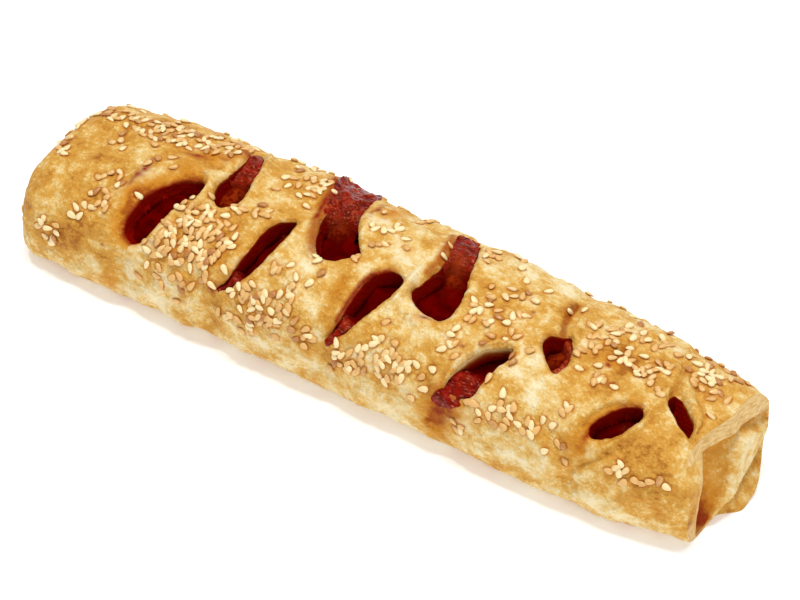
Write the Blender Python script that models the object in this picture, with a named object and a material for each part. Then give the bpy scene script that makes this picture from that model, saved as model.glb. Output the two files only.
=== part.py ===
"""Slashed sausage roll: a puff-pastry crust with ten open slits, and the filling that runs through it.

Sizes are in millimetres and become metres in ``loft_rings`` only. X runs along the roll, -Y is its
front and +Z is up. A place on the roll's skin is named by its x and by its arc, the distance around
the skin from the crown, negative down the front. The origin is the middle of the base it lies on.
"""
import math
from dataclasses import dataclass

import bmesh
import bpy
import numpy as np

MM = 0.001


@dataclass(frozen=True)
class Section:
    """Cross-section of the roll: width, height and how square its upper half is (2 is an ellipse)."""

    width: float
    height: float
    square: float


@dataclass(frozen=True)
class Slit:
    """One knife cut that opened in the oven, widest near its head and narrowing to its tail.

    ``head`` and ``tail`` are (x, arc). ``taper`` is 0.5 for an even oval and more for a drop.
    ``bend`` moves the middle of the cut to the side, toward +X when positive.
    """

    name: str
    head: tuple[float, float]
    tail: tuple[float, float]
    width: float
    taper: float = 0.6
    bend: float = 0.0


# The roll
LENGTH = 219.0                          # from the left tip to the front foot of the right end
CENTRE = np.array([2.65, 1.75, 0.0])    # middle of the whole base, back flap and humped back included
MIDDLE = Section(width=56.0, height=34.5, square=2.35)
LEFT_END = Section(width=53.5, height=27.5, square=2.7)
RIGHT_END = Section(width=42.0, height=28.5, square=3.6)
LEFT_TAPER, RIGHT_TAPER = 3.0, 5.6      # how late each end narrows
BASE_SQUARE = 5.0                       # lower half: flat base with rounded corners
AXIS_HEIGHT = 0.40                      # height of the widest line, as a share of the section
BOW = 1.2                               # the middle lies this much further back than the ends
LEFT_ROUND = 10.0                       # the closed left end is rounded over this length

# Crust, slits and the creases that run on from them
WALL = 3.4
FRONT_SLITS = (
    Slit("front_1", (-57.5, -4.0), (-68.5, -29.5), width=10.5, taper=0.5, bend=0.5),
    Slit("front_2", (-27.0, -4.0), (-38.0, -32.0), width=8.0, taper=0.8, bend=2.5),
    Slit("front_3", (10.0, -5.5), (-0.5, -31.0), width=9.5, taper=0.75, bend=0.5),
    Slit("front_4", (49.0, -11.0), (36.5, -31.5), width=9.0, taper=0.6),
    Slit("front_5", (89.0, -9.5), (76.5, -32.0), width=8.0, taper=1.3),
)
BACK_SLITS = (
    Slit("back_1", (-48.5, -9.5), (-53.0, 20.0), width=9.5, taper=0.7),
    Slit("back_2", (-10.0, -12.0), (-20.0, 21.0), width=12.5, taper=0.7),
    Slit("back_3", (22.5, -15.0), (17.0, 21.0), width=14.0, taper=0.9),
    Slit("back_4", (62.0, -13.5), (53.5, 14.0), width=8.0, taper=1.5),
    Slit("back_5", (103.0, -9.5), (87.0, 11.0), width=6.5, taper=0.8, bend=-3.5),
)
CREASE_DEPTH, CREASE_WIDTH = 1.7, 6.0
PILLOW_RISE = 0.6
HUMP_RISE, HUMP_X, HUMP_REACH = 1.3, -12.0, 36.0   # the back stands highest here

# The right end: a sheet folded over a tucked-in tongue, with a pocket between its front wall and tongue
BACK_CORNER_SQUARE = 1.45               # the lower back corner curls up off the base here
BACK_FLAP = 5.0                         # how far the lower back edge sticks out past the front
TOP_CUT_BACK = 2.5                      # how far the top sheet falls short at the front
TONGUE_BULGE = 2.5
POCKET_DEPTH = 8.5
FRONT_WALL_FOOT, FRONT_WALL_HEAD = (-15.0, 2.5), (-12.6, 23.6)
TONGUE_EDGE = ((5.0, 23.6), (-1.5, 20.0), (-4.0, 14.5), (-6.0, 9.0), (-10.0, 4.0))

# Hollow and filling
HOLLOW_LEFT, HOLLOW_RIGHT = -101.0, 96.0
END_ROUND = 9.0
FIT_GAP = 0.4
HEADROOM = 1.8                          # the filling has sunk this far below the crown of its hollow

# Facets
AROUND, ALONG = 44, 46
CORE_AROUND, CORE_ALONG = 24, 20
SLIT_POINTS = 14


def smooth(low, high, value):
    """Return 0 below ``low``, 1 above ``high`` and an S-shaped rise between them."""
    t = np.clip((value - low) / (high - low), 0.0, 1.0)
    return t * t * (3.0 - 2.0 * t)


def section_at(x):
    """Return width, height and squareness of the roll at ``x``."""
    reach = np.clip(np.abs(x) / (LENGTH / 2.0), 0.0, 1.0)
    end, late = (LEFT_END, LEFT_TAPER) if x < 0.0 else (RIGHT_END, RIGHT_TAPER)
    blend = reach ** late
    return (MIDDLE.width + (end.width - MIDDLE.width) * blend,
            MIDDLE.height + (end.height - MIDDLE.height) * reach ** 2.5,
            MIDDLE.square + (end.square - MIDDLE.square) * blend)


def left_rounding(x):
    """Return how much of the section is left at ``x``, 1 along the roll and 0 at its left tip."""
    into_end = np.clip(1.0 - (x + LENGTH / 2.0) / LEFT_ROUND, 0.0, 1.0)
    return (1.0 - into_end ** 2.6) ** (1.0 / 2.6)


def plain_ring(x, angle, inset=0.0):
    """Return Y and Z of the smooth section at ``x``; angle 0 is the crown and negative is the front."""
    width, height, square = section_at(x)
    axis = AXIS_HEIGHT * height
    upper = np.cos(angle) >= 0.0
    curl = np.where(np.sin(angle) > 0.0, max(2.0 * x / LENGTH, 0.0) ** RIGHT_TAPER, 0.0)
    power = np.where(upper, square, BASE_SQUARE + (BACK_CORNER_SQUARE - BASE_SQUARE) * curl)
    reach = np.where(upper, height - axis, axis * 1.03)
    radius = ((np.abs(np.sin(angle)) / (width / 2.0)) ** power
              + (np.abs(np.cos(angle)) / reach) ** power) ** (-1.0 / power) - inset
    keep = left_rounding(x)
    y = radius * np.sin(angle) * keep + BOW * (1.0 - (2.0 * x / LENGTH) ** 2)
    z = axis + radius * np.cos(angle) * (0.35 + 0.65 * keep)
    return y, np.maximum(z, inset)


def arcs_around(x, samples=721):
    """Return sample angles at ``x`` and their distance around the skin from the crown."""
    angle = np.linspace(-math.pi, math.pi, samples)
    y, z = plain_ring(x, angle)
    along = np.concatenate([[0.0], np.cumsum(np.hypot(np.diff(y), np.diff(z)))])
    return angle, along - np.interp(0.0, angle, along)


def slit_line(slit, arc):
    """Return the x of a slit's own line at ``arc``; past the tail it runs straight on as a crease."""
    share = np.clip((arc - slit.head[1]) / (slit.tail[1] - slit.head[1]), 0.0, 1.0)
    return slit.head[0] + (slit.tail[0] - slit.head[0]) * share + slit.bend * 4.0 * share * (1.0 - share)


def relief(x, arc):
    """Return how far the baked skin stands out from the smooth section: pillows between creases."""
    rise = PILLOW_RISE
    for slit in FRONT_SLITS + BACK_SLITS:
        side = math.copysign(1.0, slit.tail[1])
        begins = smooth(side * slit.head[1], side * slit.tail[1], side * arc)
        rise = rise - CREASE_DEPTH * begins * np.exp(-((x - slit_line(slit, arc)) / CREASE_WIDTH) ** 2)
    rise = rise + HUMP_RISE * np.exp(-((x - HUMP_X) / HUMP_REACH) ** 2) * smooth(-12.0, 12.0, arc)
    past_slits = smooth(12.0, 30.0, np.minimum(x + LENGTH / 2.0, LENGTH / 2.0 + 4.0 - x))
    return rise * past_slits * smooth(52.0, 40.0, np.abs(arc))


def skin(x, angle, inset=0.0):
    """Return points (n, 3) on the crust at ``x``, ``inset`` below its baked skin."""
    table, arcs = arcs_around(x)
    out = relief(x, np.interp(angle, table, arcs)) if inset == 0.0 else 0.0
    y, z = plain_ring(x, angle, inset)
    return np.stack([np.full_like(y, x), y + out * np.sin(angle), np.maximum(z + out * np.cos(angle), inset)], -1)


def end_face(y, z):
    """Return how far the closed right end stands out (+X) at Y and Z of its section."""
    lower_back = BACK_FLAP * smooth(10.0, 1.0, z) * smooth(-6.0, 1.0, y)
    top_front = TOP_CUT_BACK * smooth(4.0, -9.0, y) * smooth(18.0, 26.0, z)
    tongue = TONGUE_BULGE * np.exp(-((y + 1.0) / 7.0) ** 2 - ((z - 12.0) / 7.0) ** 2)
    return lower_back - top_front + tongue


def loft_rings(bm, rings):
    """Skin closed rings of points into ``bm`` and close both ends with a fan to their centres.

    Args:
        bm: The bmesh that receives the faces.
        rings: Arrays (n, 3) of millimetre points, all with the same count, in order.
    """
    rows = [[bm.verts.new((point - CENTRE) * MM) for point in ring] for ring in rings]
    count = len(rows[0])
    for row, following in zip(rows, rows[1:]):
        for i in range(count):
            j = (i + 1) % count
            bm.faces.new((row[i], row[j], following[j], following[i]))
    for row, ring in ((rows[0], rings[0]), (rows[-1], rings[-1])):
        hub = bm.verts.new((ring.mean(axis=0) - CENTRE) * MM)
        for i in range(count):
            bm.faces.new((row[i], row[(i + 1) % count], hub))
    bmesh.ops.recalc_face_normals(bm, faces=bm.faces)


def add_solid(name, rings, collection):
    """Make one closed lofted object in ``collection`` and return it."""
    bm = bmesh.new()
    loft_rings(bm, rings)
    mesh = bpy.data.meshes.new(name)
    bm.to_mesh(mesh)
    bm.free()
    mesh.shade_smooth()
    solid = bpy.data.objects.new(name, mesh)
    collection.objects.link(solid)
    return solid


def paint(solid, color, roughness):
    """Give ``solid`` its own Principled material."""
    material = bpy.data.materials.new(solid.name)
    material.use_nodes = True
    shader = material.node_tree.nodes["Principled BSDF"]
    shader.inputs["Base Color"].default_value = (*color, 1.0)
    shader.inputs["Roughness"].default_value = roughness
    shader.inputs["Metallic"].default_value = 0.0
    solid.data.materials.append(material)


def outer_rings():
    """Return the crust's outer rings, from the rounded left tip to the folded face on the right."""
    angle = np.linspace(-math.pi, math.pi, AROUND, endpoint=False)
    left = -LENGTH / 2.0
    rounding = left + LEFT_ROUND * (1.0 - np.cos(np.linspace(0.12, 1.0, 5) * math.pi / 2.0))
    straight = np.linspace(left + LEFT_ROUND, LENGTH / 2.0, ALONG)
    rings = [skin(x, angle) for x in np.concatenate([rounding[:-1], straight])]
    rim = rings[-1]
    hub = np.array([0.0, RIGHT_END.height * 0.45])
    for keep in (1.0, 0.8, 0.6, 0.4, 0.2):
        ring = rim.copy()
        ring[:, 1:] = hub + (rim[:, 1:] - hub) * keep
        ring[:, 0] += end_face(ring[:, 1], ring[:, 2])
        rings.append(ring)
    return rings[:-6] + rings[-5:]


def core_rings(inset, sink, shrink):
    """Return rings for the hollow or the filling in it.

    Args:
        inset: Depth below the roll's skin.
        sink: How much lower the crown lies than the inset alone would put it.
        shrink: How much shorter the core is at each end than the hollow.
    """
    angle = np.linspace(-math.pi, math.pi, CORE_AROUND, endpoint=False)
    left, right = HOLLOW_LEFT + shrink, HOLLOW_RIGHT - shrink
    middle, half = (left + right) / 2.0, (right - left) / 2.0
    rings = []
    for turn in np.linspace(-1.0, 1.0, CORE_ALONG):
        x = middle + half * math.sin(turn * math.pi / 2.0)
        from_end = np.clip(1.0 - (half - abs(x - middle)) / END_ROUND, 0.0, 0.985)
        keep = math.sqrt(1.0 - from_end ** 2)
        ring = skin(x, angle, inset + WALL)
        axis = AXIS_HEIGHT * section_at(x)[1]
        ring[:, 2] -= sink * np.maximum(np.cos(angle), 0.0) ** 2
        ring[:, 1] *= 0.3 + 0.7 * keep
        ring[:, 2] = axis + (ring[:, 2] - axis) * (0.3 + 0.7 * keep)
        rings.append(ring)
    return rings


def slit_rings(slit):
    """Return the rings of one slit's cutter, from above the skin down into the hollow."""
    turn = np.linspace(0.0, 2.0 * math.pi, SLIT_POINTS, endpoint=False)
    share = (1.0 - np.cos(turn)) / 2.0
    widest = 0.5 / (0.5 + slit.taper)
    profile = np.sqrt(share) * (1.0 - share) ** slit.taper
    profile /= math.sqrt(widest) * (1.0 - widest) ** slit.taper
    run = np.array(slit.tail) - np.array(slit.head)
    side = np.array([-run[1], run[0]]) / np.hypot(*run)
    side *= math.copysign(1.0, side[0])
    rings = []
    for lift, spread in ((8.0, 1.3), (0.0, 1.0), (-1.4, 0.84), (-WALL - 2.4, 0.74)):
        along = 0.5 + (share - 0.5) * (0.7 + 0.3 * spread)
        offset = np.sign(np.sin(turn)) * profile * slit.width / 2.0 * spread
        offset = offset + slit.bend * 4.0 * along * (1.0 - along)
        places = np.array(slit.head) + along[:, None] * run + offset[:, None] * side
        ring = []
        for x, arc in places:
            table, arcs = arcs_around(x)
            angle = np.array([np.interp(arc, arcs, table)])
            ring.append(skin(x, angle)[0] + lift * np.array([0.0, math.sin(angle[0]), math.cos(angle[0])]))
        rings.append(np.array(ring))
    return rings


def pocket_rings():
    """Return the cutter of the end pocket: as wide as the tongue leaves it, narrowing to the front wall."""
    outline = np.array((FRONT_WALL_FOOT, FRONT_WALL_HEAD) + TONGUE_EDGE)
    lean = (FRONT_WALL_HEAD[0] - FRONT_WALL_FOOT[0]) / (FRONT_WALL_HEAD[1] - FRONT_WALL_FOOT[1])
    wall = FRONT_WALL_FOOT[0] + lean * (outline[:, 1] - FRONT_WALL_FOOT[1])
    rings = []
    for reach, open_share in ((8.0, 1.1), (1.0, 1.0), (-0.5 * POCKET_DEPTH, 0.5), (-POCKET_DEPTH, 0.2)):
        y = wall + (outline[:, 0] - wall) * open_share
        rings.append(np.stack([np.full_like(y, LENGTH / 2.0 + reach), y, outline[:, 1]], -1))
    return rings


def cut(solid, cutter):
    """Take ``cutter`` out of ``solid`` and keep the cutter hidden as a construction guide."""
    cutter.hide_render = True
    cutter.display_type = "WIRE"
    boolean = solid.modifiers.new(cutter.name, "BOOLEAN")
    boolean.operation = "DIFFERENCE"
    boolean.solver = "EXACT"
    boolean.object = cutter


def main():
    """Build the crust and the filling."""
    for old in list(bpy.data.objects):
        bpy.data.objects.remove(old)
    parts = bpy.data.collections.new("sausage_roll")
    cutters = bpy.data.collections.new("cutters")
    bpy.context.scene.collection.children.link(parts)
    bpy.context.scene.collection.children.link(cutters)

    crust = add_solid("crust", outer_rings(), parts)
    cut(crust, add_solid("hollow", core_rings(0.0, 0.0, 0.0), cutters))
    for slit in FRONT_SLITS + BACK_SLITS:
        cut(crust, add_solid(f"slit_{slit.name}", slit_rings(slit), cutters))
    cut(crust, add_solid("pocket", pocket_rings(), cutters))
    filling = add_solid("filling", core_rings(FIT_GAP, HEADROOM, FIT_GAP), parts)

    paint(crust, color=(0.62, 0.33, 0.09), roughness=0.5)
    paint(filling, color=(0.16, 0.012, 0.004), roughness=0.3)


if __name__ == "__main__":
    main()
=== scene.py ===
"""Looks of the slashed sausage roll: baked crust, red filling, boiled-out sauce and sesame seeds.

Lengths are in millimetres and become metres when a mesh is made. A place on the roll's skin is named
by its x along the roll and its arc, the distance around the skin from the crown, negative down the
front. The roll's own origin lies under its middle, at the height of its base.
"""

import logging
import math
from dataclasses import dataclass, field
from enum import Enum
from typing import Any, Iterator, Sequence

import bmesh
import bpy
import numpy as np
from mathutils import Matrix, Vector
from mathutils.geometry import delaunay_2d_cdt
from mathutils.kdtree import KDTree

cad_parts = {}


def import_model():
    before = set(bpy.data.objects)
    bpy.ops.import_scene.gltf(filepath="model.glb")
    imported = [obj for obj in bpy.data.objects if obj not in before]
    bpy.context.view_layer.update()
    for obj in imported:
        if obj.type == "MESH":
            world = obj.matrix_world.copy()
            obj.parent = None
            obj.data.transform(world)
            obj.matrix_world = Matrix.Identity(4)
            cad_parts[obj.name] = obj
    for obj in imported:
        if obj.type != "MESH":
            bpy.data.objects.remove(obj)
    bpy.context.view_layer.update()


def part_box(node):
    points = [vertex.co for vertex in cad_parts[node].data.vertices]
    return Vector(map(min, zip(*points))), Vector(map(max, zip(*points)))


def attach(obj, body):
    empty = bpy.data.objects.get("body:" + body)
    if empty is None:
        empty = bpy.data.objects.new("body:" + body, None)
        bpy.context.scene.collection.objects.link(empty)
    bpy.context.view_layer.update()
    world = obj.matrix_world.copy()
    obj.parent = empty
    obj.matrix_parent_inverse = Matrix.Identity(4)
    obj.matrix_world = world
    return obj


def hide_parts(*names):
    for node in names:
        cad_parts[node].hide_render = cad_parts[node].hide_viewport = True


LOG = logging.getLogger("sausage_roll")
MM = 0.001
ROW_PITCH = 0.866  # distance between the rows of a triangular grid, as a share of its step

Array = np.ndarray
Place = tuple[float, float]
Line = tuple[Place, ...]


# ---------------------------------------------------------------- small helpers


def smooth(low: float, high: float, value: Array | float) -> Array:
    """Return 0 below ``low``, 1 above ``high`` and an S-shaped rise between them."""
    t = np.clip((np.asarray(value, float) - low) / (high - low), 0.0, 1.0)
    return t * t * (3.0 - 2.0 * t)


def mix(a: Array | float, b: Array | float, share: Array | float) -> Array:
    """Return ``a`` where ``share`` is 0 and ``b`` where it is 1."""
    return a + (b - a) * share


def bell(value: Array | float, width: float) -> Array:
    """Return a bell curve of ``value``, 1 at 0 and nearly 0 past twice ``width``."""
    return np.exp(-((np.asarray(value, float) / width) ** 2))


def lumps(points: Array, size: float, seed: int = 0) -> Array:
    """Return smooth noise between -1 and 1.

    Args:
        points: Positions (n, 2) or (n, 3) in millimetres.
        size: Distance between lumps, in millimetres.
        seed: Picks one of many patterns.

    Returns:
        One value for each point.
    """
    if points.shape[1] == 2:
        points = np.column_stack([points, np.zeros(len(points))])
    grid = points / size + 1000.5
    low = np.floor(grid).astype(np.int64)
    share = grid - low
    share = share * share * (3.0 - 2.0 * share)
    total = np.zeros(len(points))
    for corner in range(8):
        step = np.array([corner & 1, corner >> 1 & 1, corner >> 2 & 1])
        x, y, z = (low + step).T
        code = (x * 73856093 + y * 19349663 + z * 83492791 + seed * 5915587277) & 0xFFFFFFFF
        code = (code ^ (code >> 15)) * 2246822519 & 0xFFFFFFFF
        code = (code ^ (code >> 13)) * 3266489917 & 0xFFFFFFFF
        code = code ^ (code >> 16)
        total += np.prod(np.where(step, share, 1.0 - share), axis=1) * ((code & 0xFFFF) / 32767.5 - 1.0)
    return total


def edge_offsets(points: Array, start: Array, edge: Array) -> tuple[Array, Array]:
    """Return the offsets (n, m, 2) of n points from where m edges start, and their distances (n, m)."""
    offset = points[:, None, :] - start[None]
    share = np.clip((offset * edge).sum(-1) / (edge**2).sum(-1), 0.0, 1.0)
    return offset, np.linalg.norm(offset - share[..., None] * edge, axis=-1)


def edge_distance(points: Array, loop: Array) -> tuple[Array, Array]:
    """Return how near 2-D points are to a closed loop, and to which of its edges.

    Args:
        points: Positions (n, 2).
        loop: Corners (m, 2) of the loop.

    Returns:
        Distances (n,), negative inside the loop, and the nearest edge's index (n,).
    """
    _, away = edge_offsets(points, loop, np.roll(loop, -1, axis=0) - loop)
    return np.where(inside_loop(points, loop), -1.0, 1.0) * away.min(1), away.argmin(1)


def inside_loop(points: Array, loop: Array) -> Array:
    """Return whether each 2-D point lies inside a closed loop."""
    x, y = points[:, 0, None], points[:, 1, None]
    x0, y0 = loop.T
    x1, y1 = np.roll(loop, -1, axis=0).T
    crosses = (y0 > y) != (y1 > y)
    with np.errstate(divide="ignore", invalid="ignore"):
        at = x0 + (y - y0) * (x1 - x0) / (y1 - y0)
    return (crosses & (x < at)).sum(1) % 2 == 1


def line_distance(points: Array, line: Line) -> Array:
    """Return 2-D points' distance to an open line, positive on its left-hand side."""
    corners = np.array(line, float)
    edge = np.diff(corners, axis=0)
    offset, away = edge_offsets(points, corners[:-1], edge)
    side = edge[:, 0] * offset[..., 1] - edge[:, 1] * offset[..., 0]
    nearest = away.argmin(1)
    return away.min(1) * np.where(side[np.arange(len(points)), nearest] >= 0.0, 1.0, -1.0)


def rounded(corners: Line, step: float, closed: bool = True) -> Array:
    """Return points on a smooth curve.

    Args:
        corners: Places that the curve passes through.
        step: About how far apart the points are.
        closed: Join the last corner to the first.

    Returns:
        Points (n, 2); an open curve's have both its ends.
    """
    knots = np.array(corners, float)
    last = len(knots) - 1
    points = []
    for i in range(last + 1 if closed else last):
        beside = np.arange(i - 1, i + 3)
        a, b, c, d = knots[beside % (last + 1) if closed else beside.clip(0, last)]
        t = np.linspace(0.0, 1.0, 12, endpoint=False)[:, None]
        points.append(0.5 * (2 * b + (c - a) * t + (2 * a - 5 * b + 4 * c - d) * t**2
                             + (3 * b - a - 3 * c + d) * t**3))
    curve = np.concatenate(points + ([knots[:1]] if closed else [knots[-1:]]))
    way = np.concatenate([[0.0], np.cumsum(np.linalg.norm(np.diff(curve, axis=0), axis=1))])
    pieces = max(int(round(way[-1] / step)), 8)
    at = np.linspace(0.0, way[-1], pieces + 1)
    curve = np.stack([np.interp(at, way, curve[:, k]) for k in (0, 1)], -1)
    return curve[:-1] if closed else curve


def numbered(parts: Sequence[Array]) -> tuple[Array, list[Array]]:
    """Return several sets of places as one, and the numbers that each set's places have in it."""
    ends = np.cumsum([len(part) for part in parts])
    return np.concatenate(parts), [np.arange(end - len(part), end) for part, end in zip(parts, ends)]


def outward(loop: Array) -> Array:
    """Return unit 2-D directions that point out of a closed loop at its corners."""
    along = np.roll(loop, -1, axis=0) - np.roll(loop, 1, axis=0)
    area = np.cross(loop, np.roll(loop, -1, axis=0)).sum()
    normal = np.stack([along[:, 1], -along[:, 0]], -1) * math.copysign(1.0, area)
    for _ in range(2):
        normal = normal + 0.5 * (np.roll(normal, 1, axis=0) + np.roll(normal, -1, axis=0))
    return normal / np.linalg.norm(normal, axis=1, keepdims=True)


def triangulate(points: Array, loops: Sequence[Array], lines: Sequence[Array] = (),
                inside: bool = False) -> Array:
    """Return Delaunay triangles over 2-D points that keep the given edges.

    Args:
        points: Positions (n, 2).
        loops: Index arrays of closed loops. Triangles inside a loop are left out.
        lines: Index arrays of open lines to keep as edges.
        inside: Keep only the triangles inside the first loop instead.

    Returns:
        Triangles (m, 3) as indices of ``points``.
    """
    edges = [(int(a), int(b)) for loop in loops for a, b in zip(loop, np.roll(loop, -1))]
    edges += [(int(a), int(b)) for line in lines for a, b in zip(line[:-1], line[1:])]
    corners = [Vector((float(x), float(y))) for x, y in points]
    _, _, faces, origins, _, _ = delaunay_2d_cdt(corners, edges, [], 0, 1e-6)
    first = np.array([ids[0] if ids else -1 for ids in origins])
    triangles = first[np.array(faces)]
    triangles = triangles[(triangles >= 0).all(1)]
    centres = points[triangles].mean(1)
    if inside:
        return triangles[inside_loop(centres, points[loops[0]])]
    keep = np.ones(len(triangles), bool)
    for loop in loops:
        outline = points[loop]
        reach = np.ptp(outline, axis=0)
        near = (np.abs(centres - outline.mean(0)) < reach).all(1)
        keep[near] &= ~inside_loop(centres[near], outline)
    return triangles[keep]


def linked(name: str, data: Any) -> bpy.types.Object:
    """Return a new object of the scene that shows ``data``."""
    made = bpy.data.objects.new(name, data)
    bpy.context.scene.collection.objects.link(made)
    return made


class Draft:
    """A mesh in the making: points, triangles and named values for each point."""

    def __init__(self, *tones: str) -> None:
        """Start an empty mesh whose points carry the named values."""
        self.points: list[Array] = []
        self.values: dict[str, list[Array]] = {tone: [] for tone in tones}
        self.triangles: list[Array] = []
        self.count = 0

    def add(self, points: Array, **tones: Array | float) -> Array:
        """Add points.

        Args:
            points: Positions (n, 3) in millimetres.
            tones: Values of the points; those left out are 0.

        Returns:
            The new points' indices.
        """
        for name, rows in self.values.items():
            rows.append(np.broadcast_to(np.asarray(tones.get(name, 0.0), float), len(points)).copy())
        self.points.append(points)
        first, self.count = self.count, self.count + len(points)
        return np.arange(first, self.count)

    def bridge(self, ring: Array, following: Array, closed: bool = True) -> None:
        """Join two rows of points of the same count with triangles."""
        a, b = ring, following
        c, d = np.roll(ring, -1), np.roll(following, -1)
        if not closed:
            a, b, c, d = a[:-1], b[:-1], c[:-1], d[:-1]
        self.triangles.append(np.concatenate([np.stack([a, c, d], -1), np.stack([a, d, b], -1)]))

    def close(self, ring: Array, hub: Array, **tones: Array | float) -> None:
        """Close a ring with a fan to the point ``hub``."""
        centre = self.add(hub[None], **tones)[0]
        self.triangles.append(np.stack([ring, np.roll(ring, -1), np.full(len(ring), centre)], -1))

    def build(self, name: str, origin: Array) -> bpy.types.Object:
        """Make the object.

        Args:
            name: The object's name.
            origin: The roll's own origin in the frame, in millimetres.

        Returns:
            A smooth-shaded object whose faces point outwards.
        """
        points = np.concatenate(self.points)
        triangles = np.concatenate(self.triangles)
        triangles = triangles[(triangles[:, 0] != triangles[:, 1]) & (triangles[:, 1] != triangles[:, 2])
                              & (triangles[:, 2] != triangles[:, 0])]
        used = np.unique(triangles)
        renumber = np.full(self.count, -1)
        renumber[used] = np.arange(len(used))
        mesh = bpy.data.meshes.new(name)
        mesh.from_pydata(((points[used] + origin) * MM).tolist(), [], renumber[triangles].tolist())
        bm = bmesh.new()
        bm.from_mesh(mesh)
        bmesh.ops.recalc_face_normals(bm, faces=bm.faces)
        open_edges = sum(1 for edge in bm.edges if len(edge.link_faces) != 2)
        bm.to_mesh(mesh)
        bm.free()
        mesh.shade_smooth()
        for tone, rows in self.values.items():
            layer = mesh.attributes.new(tone, "FLOAT", "POINT")
            layer.data.foreach_set("value", np.concatenate(rows)[used].astype(np.float32))
        LOG.info("%s: %d triangles, %d open edges", name, len(triangles), open_edges)
        return linked(name, mesh)


# ---------------------------------------------------------------- the roll's form


@dataclass(frozen=True)
class Section:
    """Cross-section of the roll: width, height and how square its upper half is."""

    width: float
    height: float
    square: float


@dataclass
class RollForm:
    """The smooth roll: superellipse sections from a rounded left end to a narrower folded right end.

    A point is found by ``s``, the way along the skin from the left tip, and ``v``, which runs from
    -half_girth at the seam under the base over the crown to +half_girth at the same seam.
    """

    length: float = 219.0
    middle: Section = Section(56.0, 34.5, 2.35)
    left: Section = Section(53.5, 27.5, 2.7)
    right: Section = Section(42.0, 28.5, 3.6)
    left_taper: float = 3.0
    right_taper: float = 5.6
    base_square: float = 5.0
    back_corner_square: float = 1.3
    axis_height: float = 0.40
    bow: float = 1.2
    left_round: float = 10.0
    tip_radius: float = 24.0
    tip_power: float = 2.6
    half_girth: float = 76.0
    back_flap: float = 5.0
    top_cut_back: float = 2.5
    top_slant: float = 1.7
    rows: int = 220
    columns: int = 401
    stations: Array = field(init=False, repr=False)

    def __post_init__(self) -> None:
        """Tabulate the arc lengths of the sections and of the rounded left end."""
        self.stations = np.linspace(-self.length / 2.0, self.length / 2.0, self.rows)
        angle = np.linspace(-math.pi, math.pi, 721)
        share = np.linspace(-1.0, 1.0, self.columns)
        rows, front, back = [], [], []
        for x in self.stations:
            y, z = self.section(np.full_like(angle, x), angle)
            arcs = np.concatenate([[0.0], np.cumsum(np.hypot(np.diff(y), np.diff(z)))])
            arcs -= np.interp(0.0, angle, arcs)
            front.append(-arcs[0])
            back.append(arcs[-1])
            rows.append(np.interp(np.where(share < 0.0, share * -arcs[0], share * arcs[-1]), arcs, angle))
        self.angles, self.front_girth, self.back_girth = np.array(rows), np.array(front), np.array(back)
        turn = np.linspace(0.0, math.pi / 2.0, 400)
        self.tip_x = self.left_round * (1.0 - np.cos(turn))
        self.tip_keep = (1.0 - np.cos(turn) ** self.tip_power) ** (1.0 / self.tip_power)
        step = np.hypot(np.diff(self.tip_x), self.tip_radius * np.diff(self.tip_keep))
        self.tip_way = np.concatenate([[0.0], np.cumsum(step)])

    @property
    def s_end(self) -> float:
        """Way along the skin from the left tip to the right end."""
        return self.s_at(self.length / 2.0)

    def s_at(self, x: Array | float) -> Array | float:
        """Return the way along the skin at ``x``, right of the rounded tip."""
        return x + self.length / 2.0 - self.left_round + self.tip_way[-1]

    def along(self, s: Array) -> tuple[Array, Array]:
        """Return x and the share of the section that is left, at ``s``."""
        in_tip = s < self.tip_way[-1]
        x = np.interp(s, self.tip_way, self.tip_x) - self.length / 2.0
        x = np.where(in_tip, x, s - self.tip_way[-1] + self.left_round - self.length / 2.0)
        return x, np.where(in_tip, np.interp(s, self.tip_way, self.tip_keep), 1.0)

    def height(self, x: Array) -> Array:
        """Return the height of the section at ``x``."""
        reach = np.clip(np.abs(x) / (self.length / 2.0), 0.0, 1.0)
        end = np.where(x < 0.0, self.left.height, self.right.height)
        return mix(self.middle.height, end, reach**2.5)

    def section(self, x: Array, angle: Array) -> tuple[Array, Array]:
        """Return Y and Z of the smooth section at ``x`` and ``angle``, 0 at the crown."""
        reach = np.clip(np.abs(x) / (self.length / 2.0), 0.0, 1.0)
        is_left = x < 0.0
        blend = reach ** np.where(is_left, self.left_taper, self.right_taper)
        width = mix(self.middle.width, np.where(is_left, self.left.width, self.right.width), blend)
        square = mix(self.middle.square, np.where(is_left, self.left.square, self.right.square), blend)
        height = self.height(x)
        axis = self.axis_height * height
        upper = np.cos(angle) >= 0.0
        curl = np.where(is_left | (angle < 0.0), 0.0, reach**self.right_taper)
        power = np.where(upper, square, mix(self.base_square, self.back_corner_square, curl))
        tall = np.where(upper, height - axis, axis * 1.03)
        radius = ((np.abs(np.sin(angle)) / (width / 2.0)) ** power
                  + (np.abs(np.cos(angle)) / tall) ** power) ** (-1.0 / power)
        return radius * np.sin(angle), np.maximum(axis + radius * np.cos(angle), 0.0)

    def angle_at(self, x: Array, v: Array) -> Array:
        """Return the section angle at ``x`` and girth place ``v``."""
        row = np.clip((x / self.length + 0.5) * (self.rows - 1), 0.0, self.rows - 1.001)
        column = np.clip((v / self.half_girth + 1.0) * (self.columns // 2), 0.0, self.columns - 1.001)
        r, c = row.astype(int), column.astype(int)
        fr, fc = row - r, column - c
        table = self.angles
        return mix(mix(table[r, c], table[r, c + 1], fc), mix(table[r + 1, c], table[r + 1, c + 1], fc), fr)

    def girth(self, x: Array, front: Array) -> Array:
        """Return the arc from the crown to the seam at ``x``, on the front or the back."""
        return np.where(front, np.interp(x, self.stations, self.front_girth),
                        np.interp(x, self.stations, self.back_girth))

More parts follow.
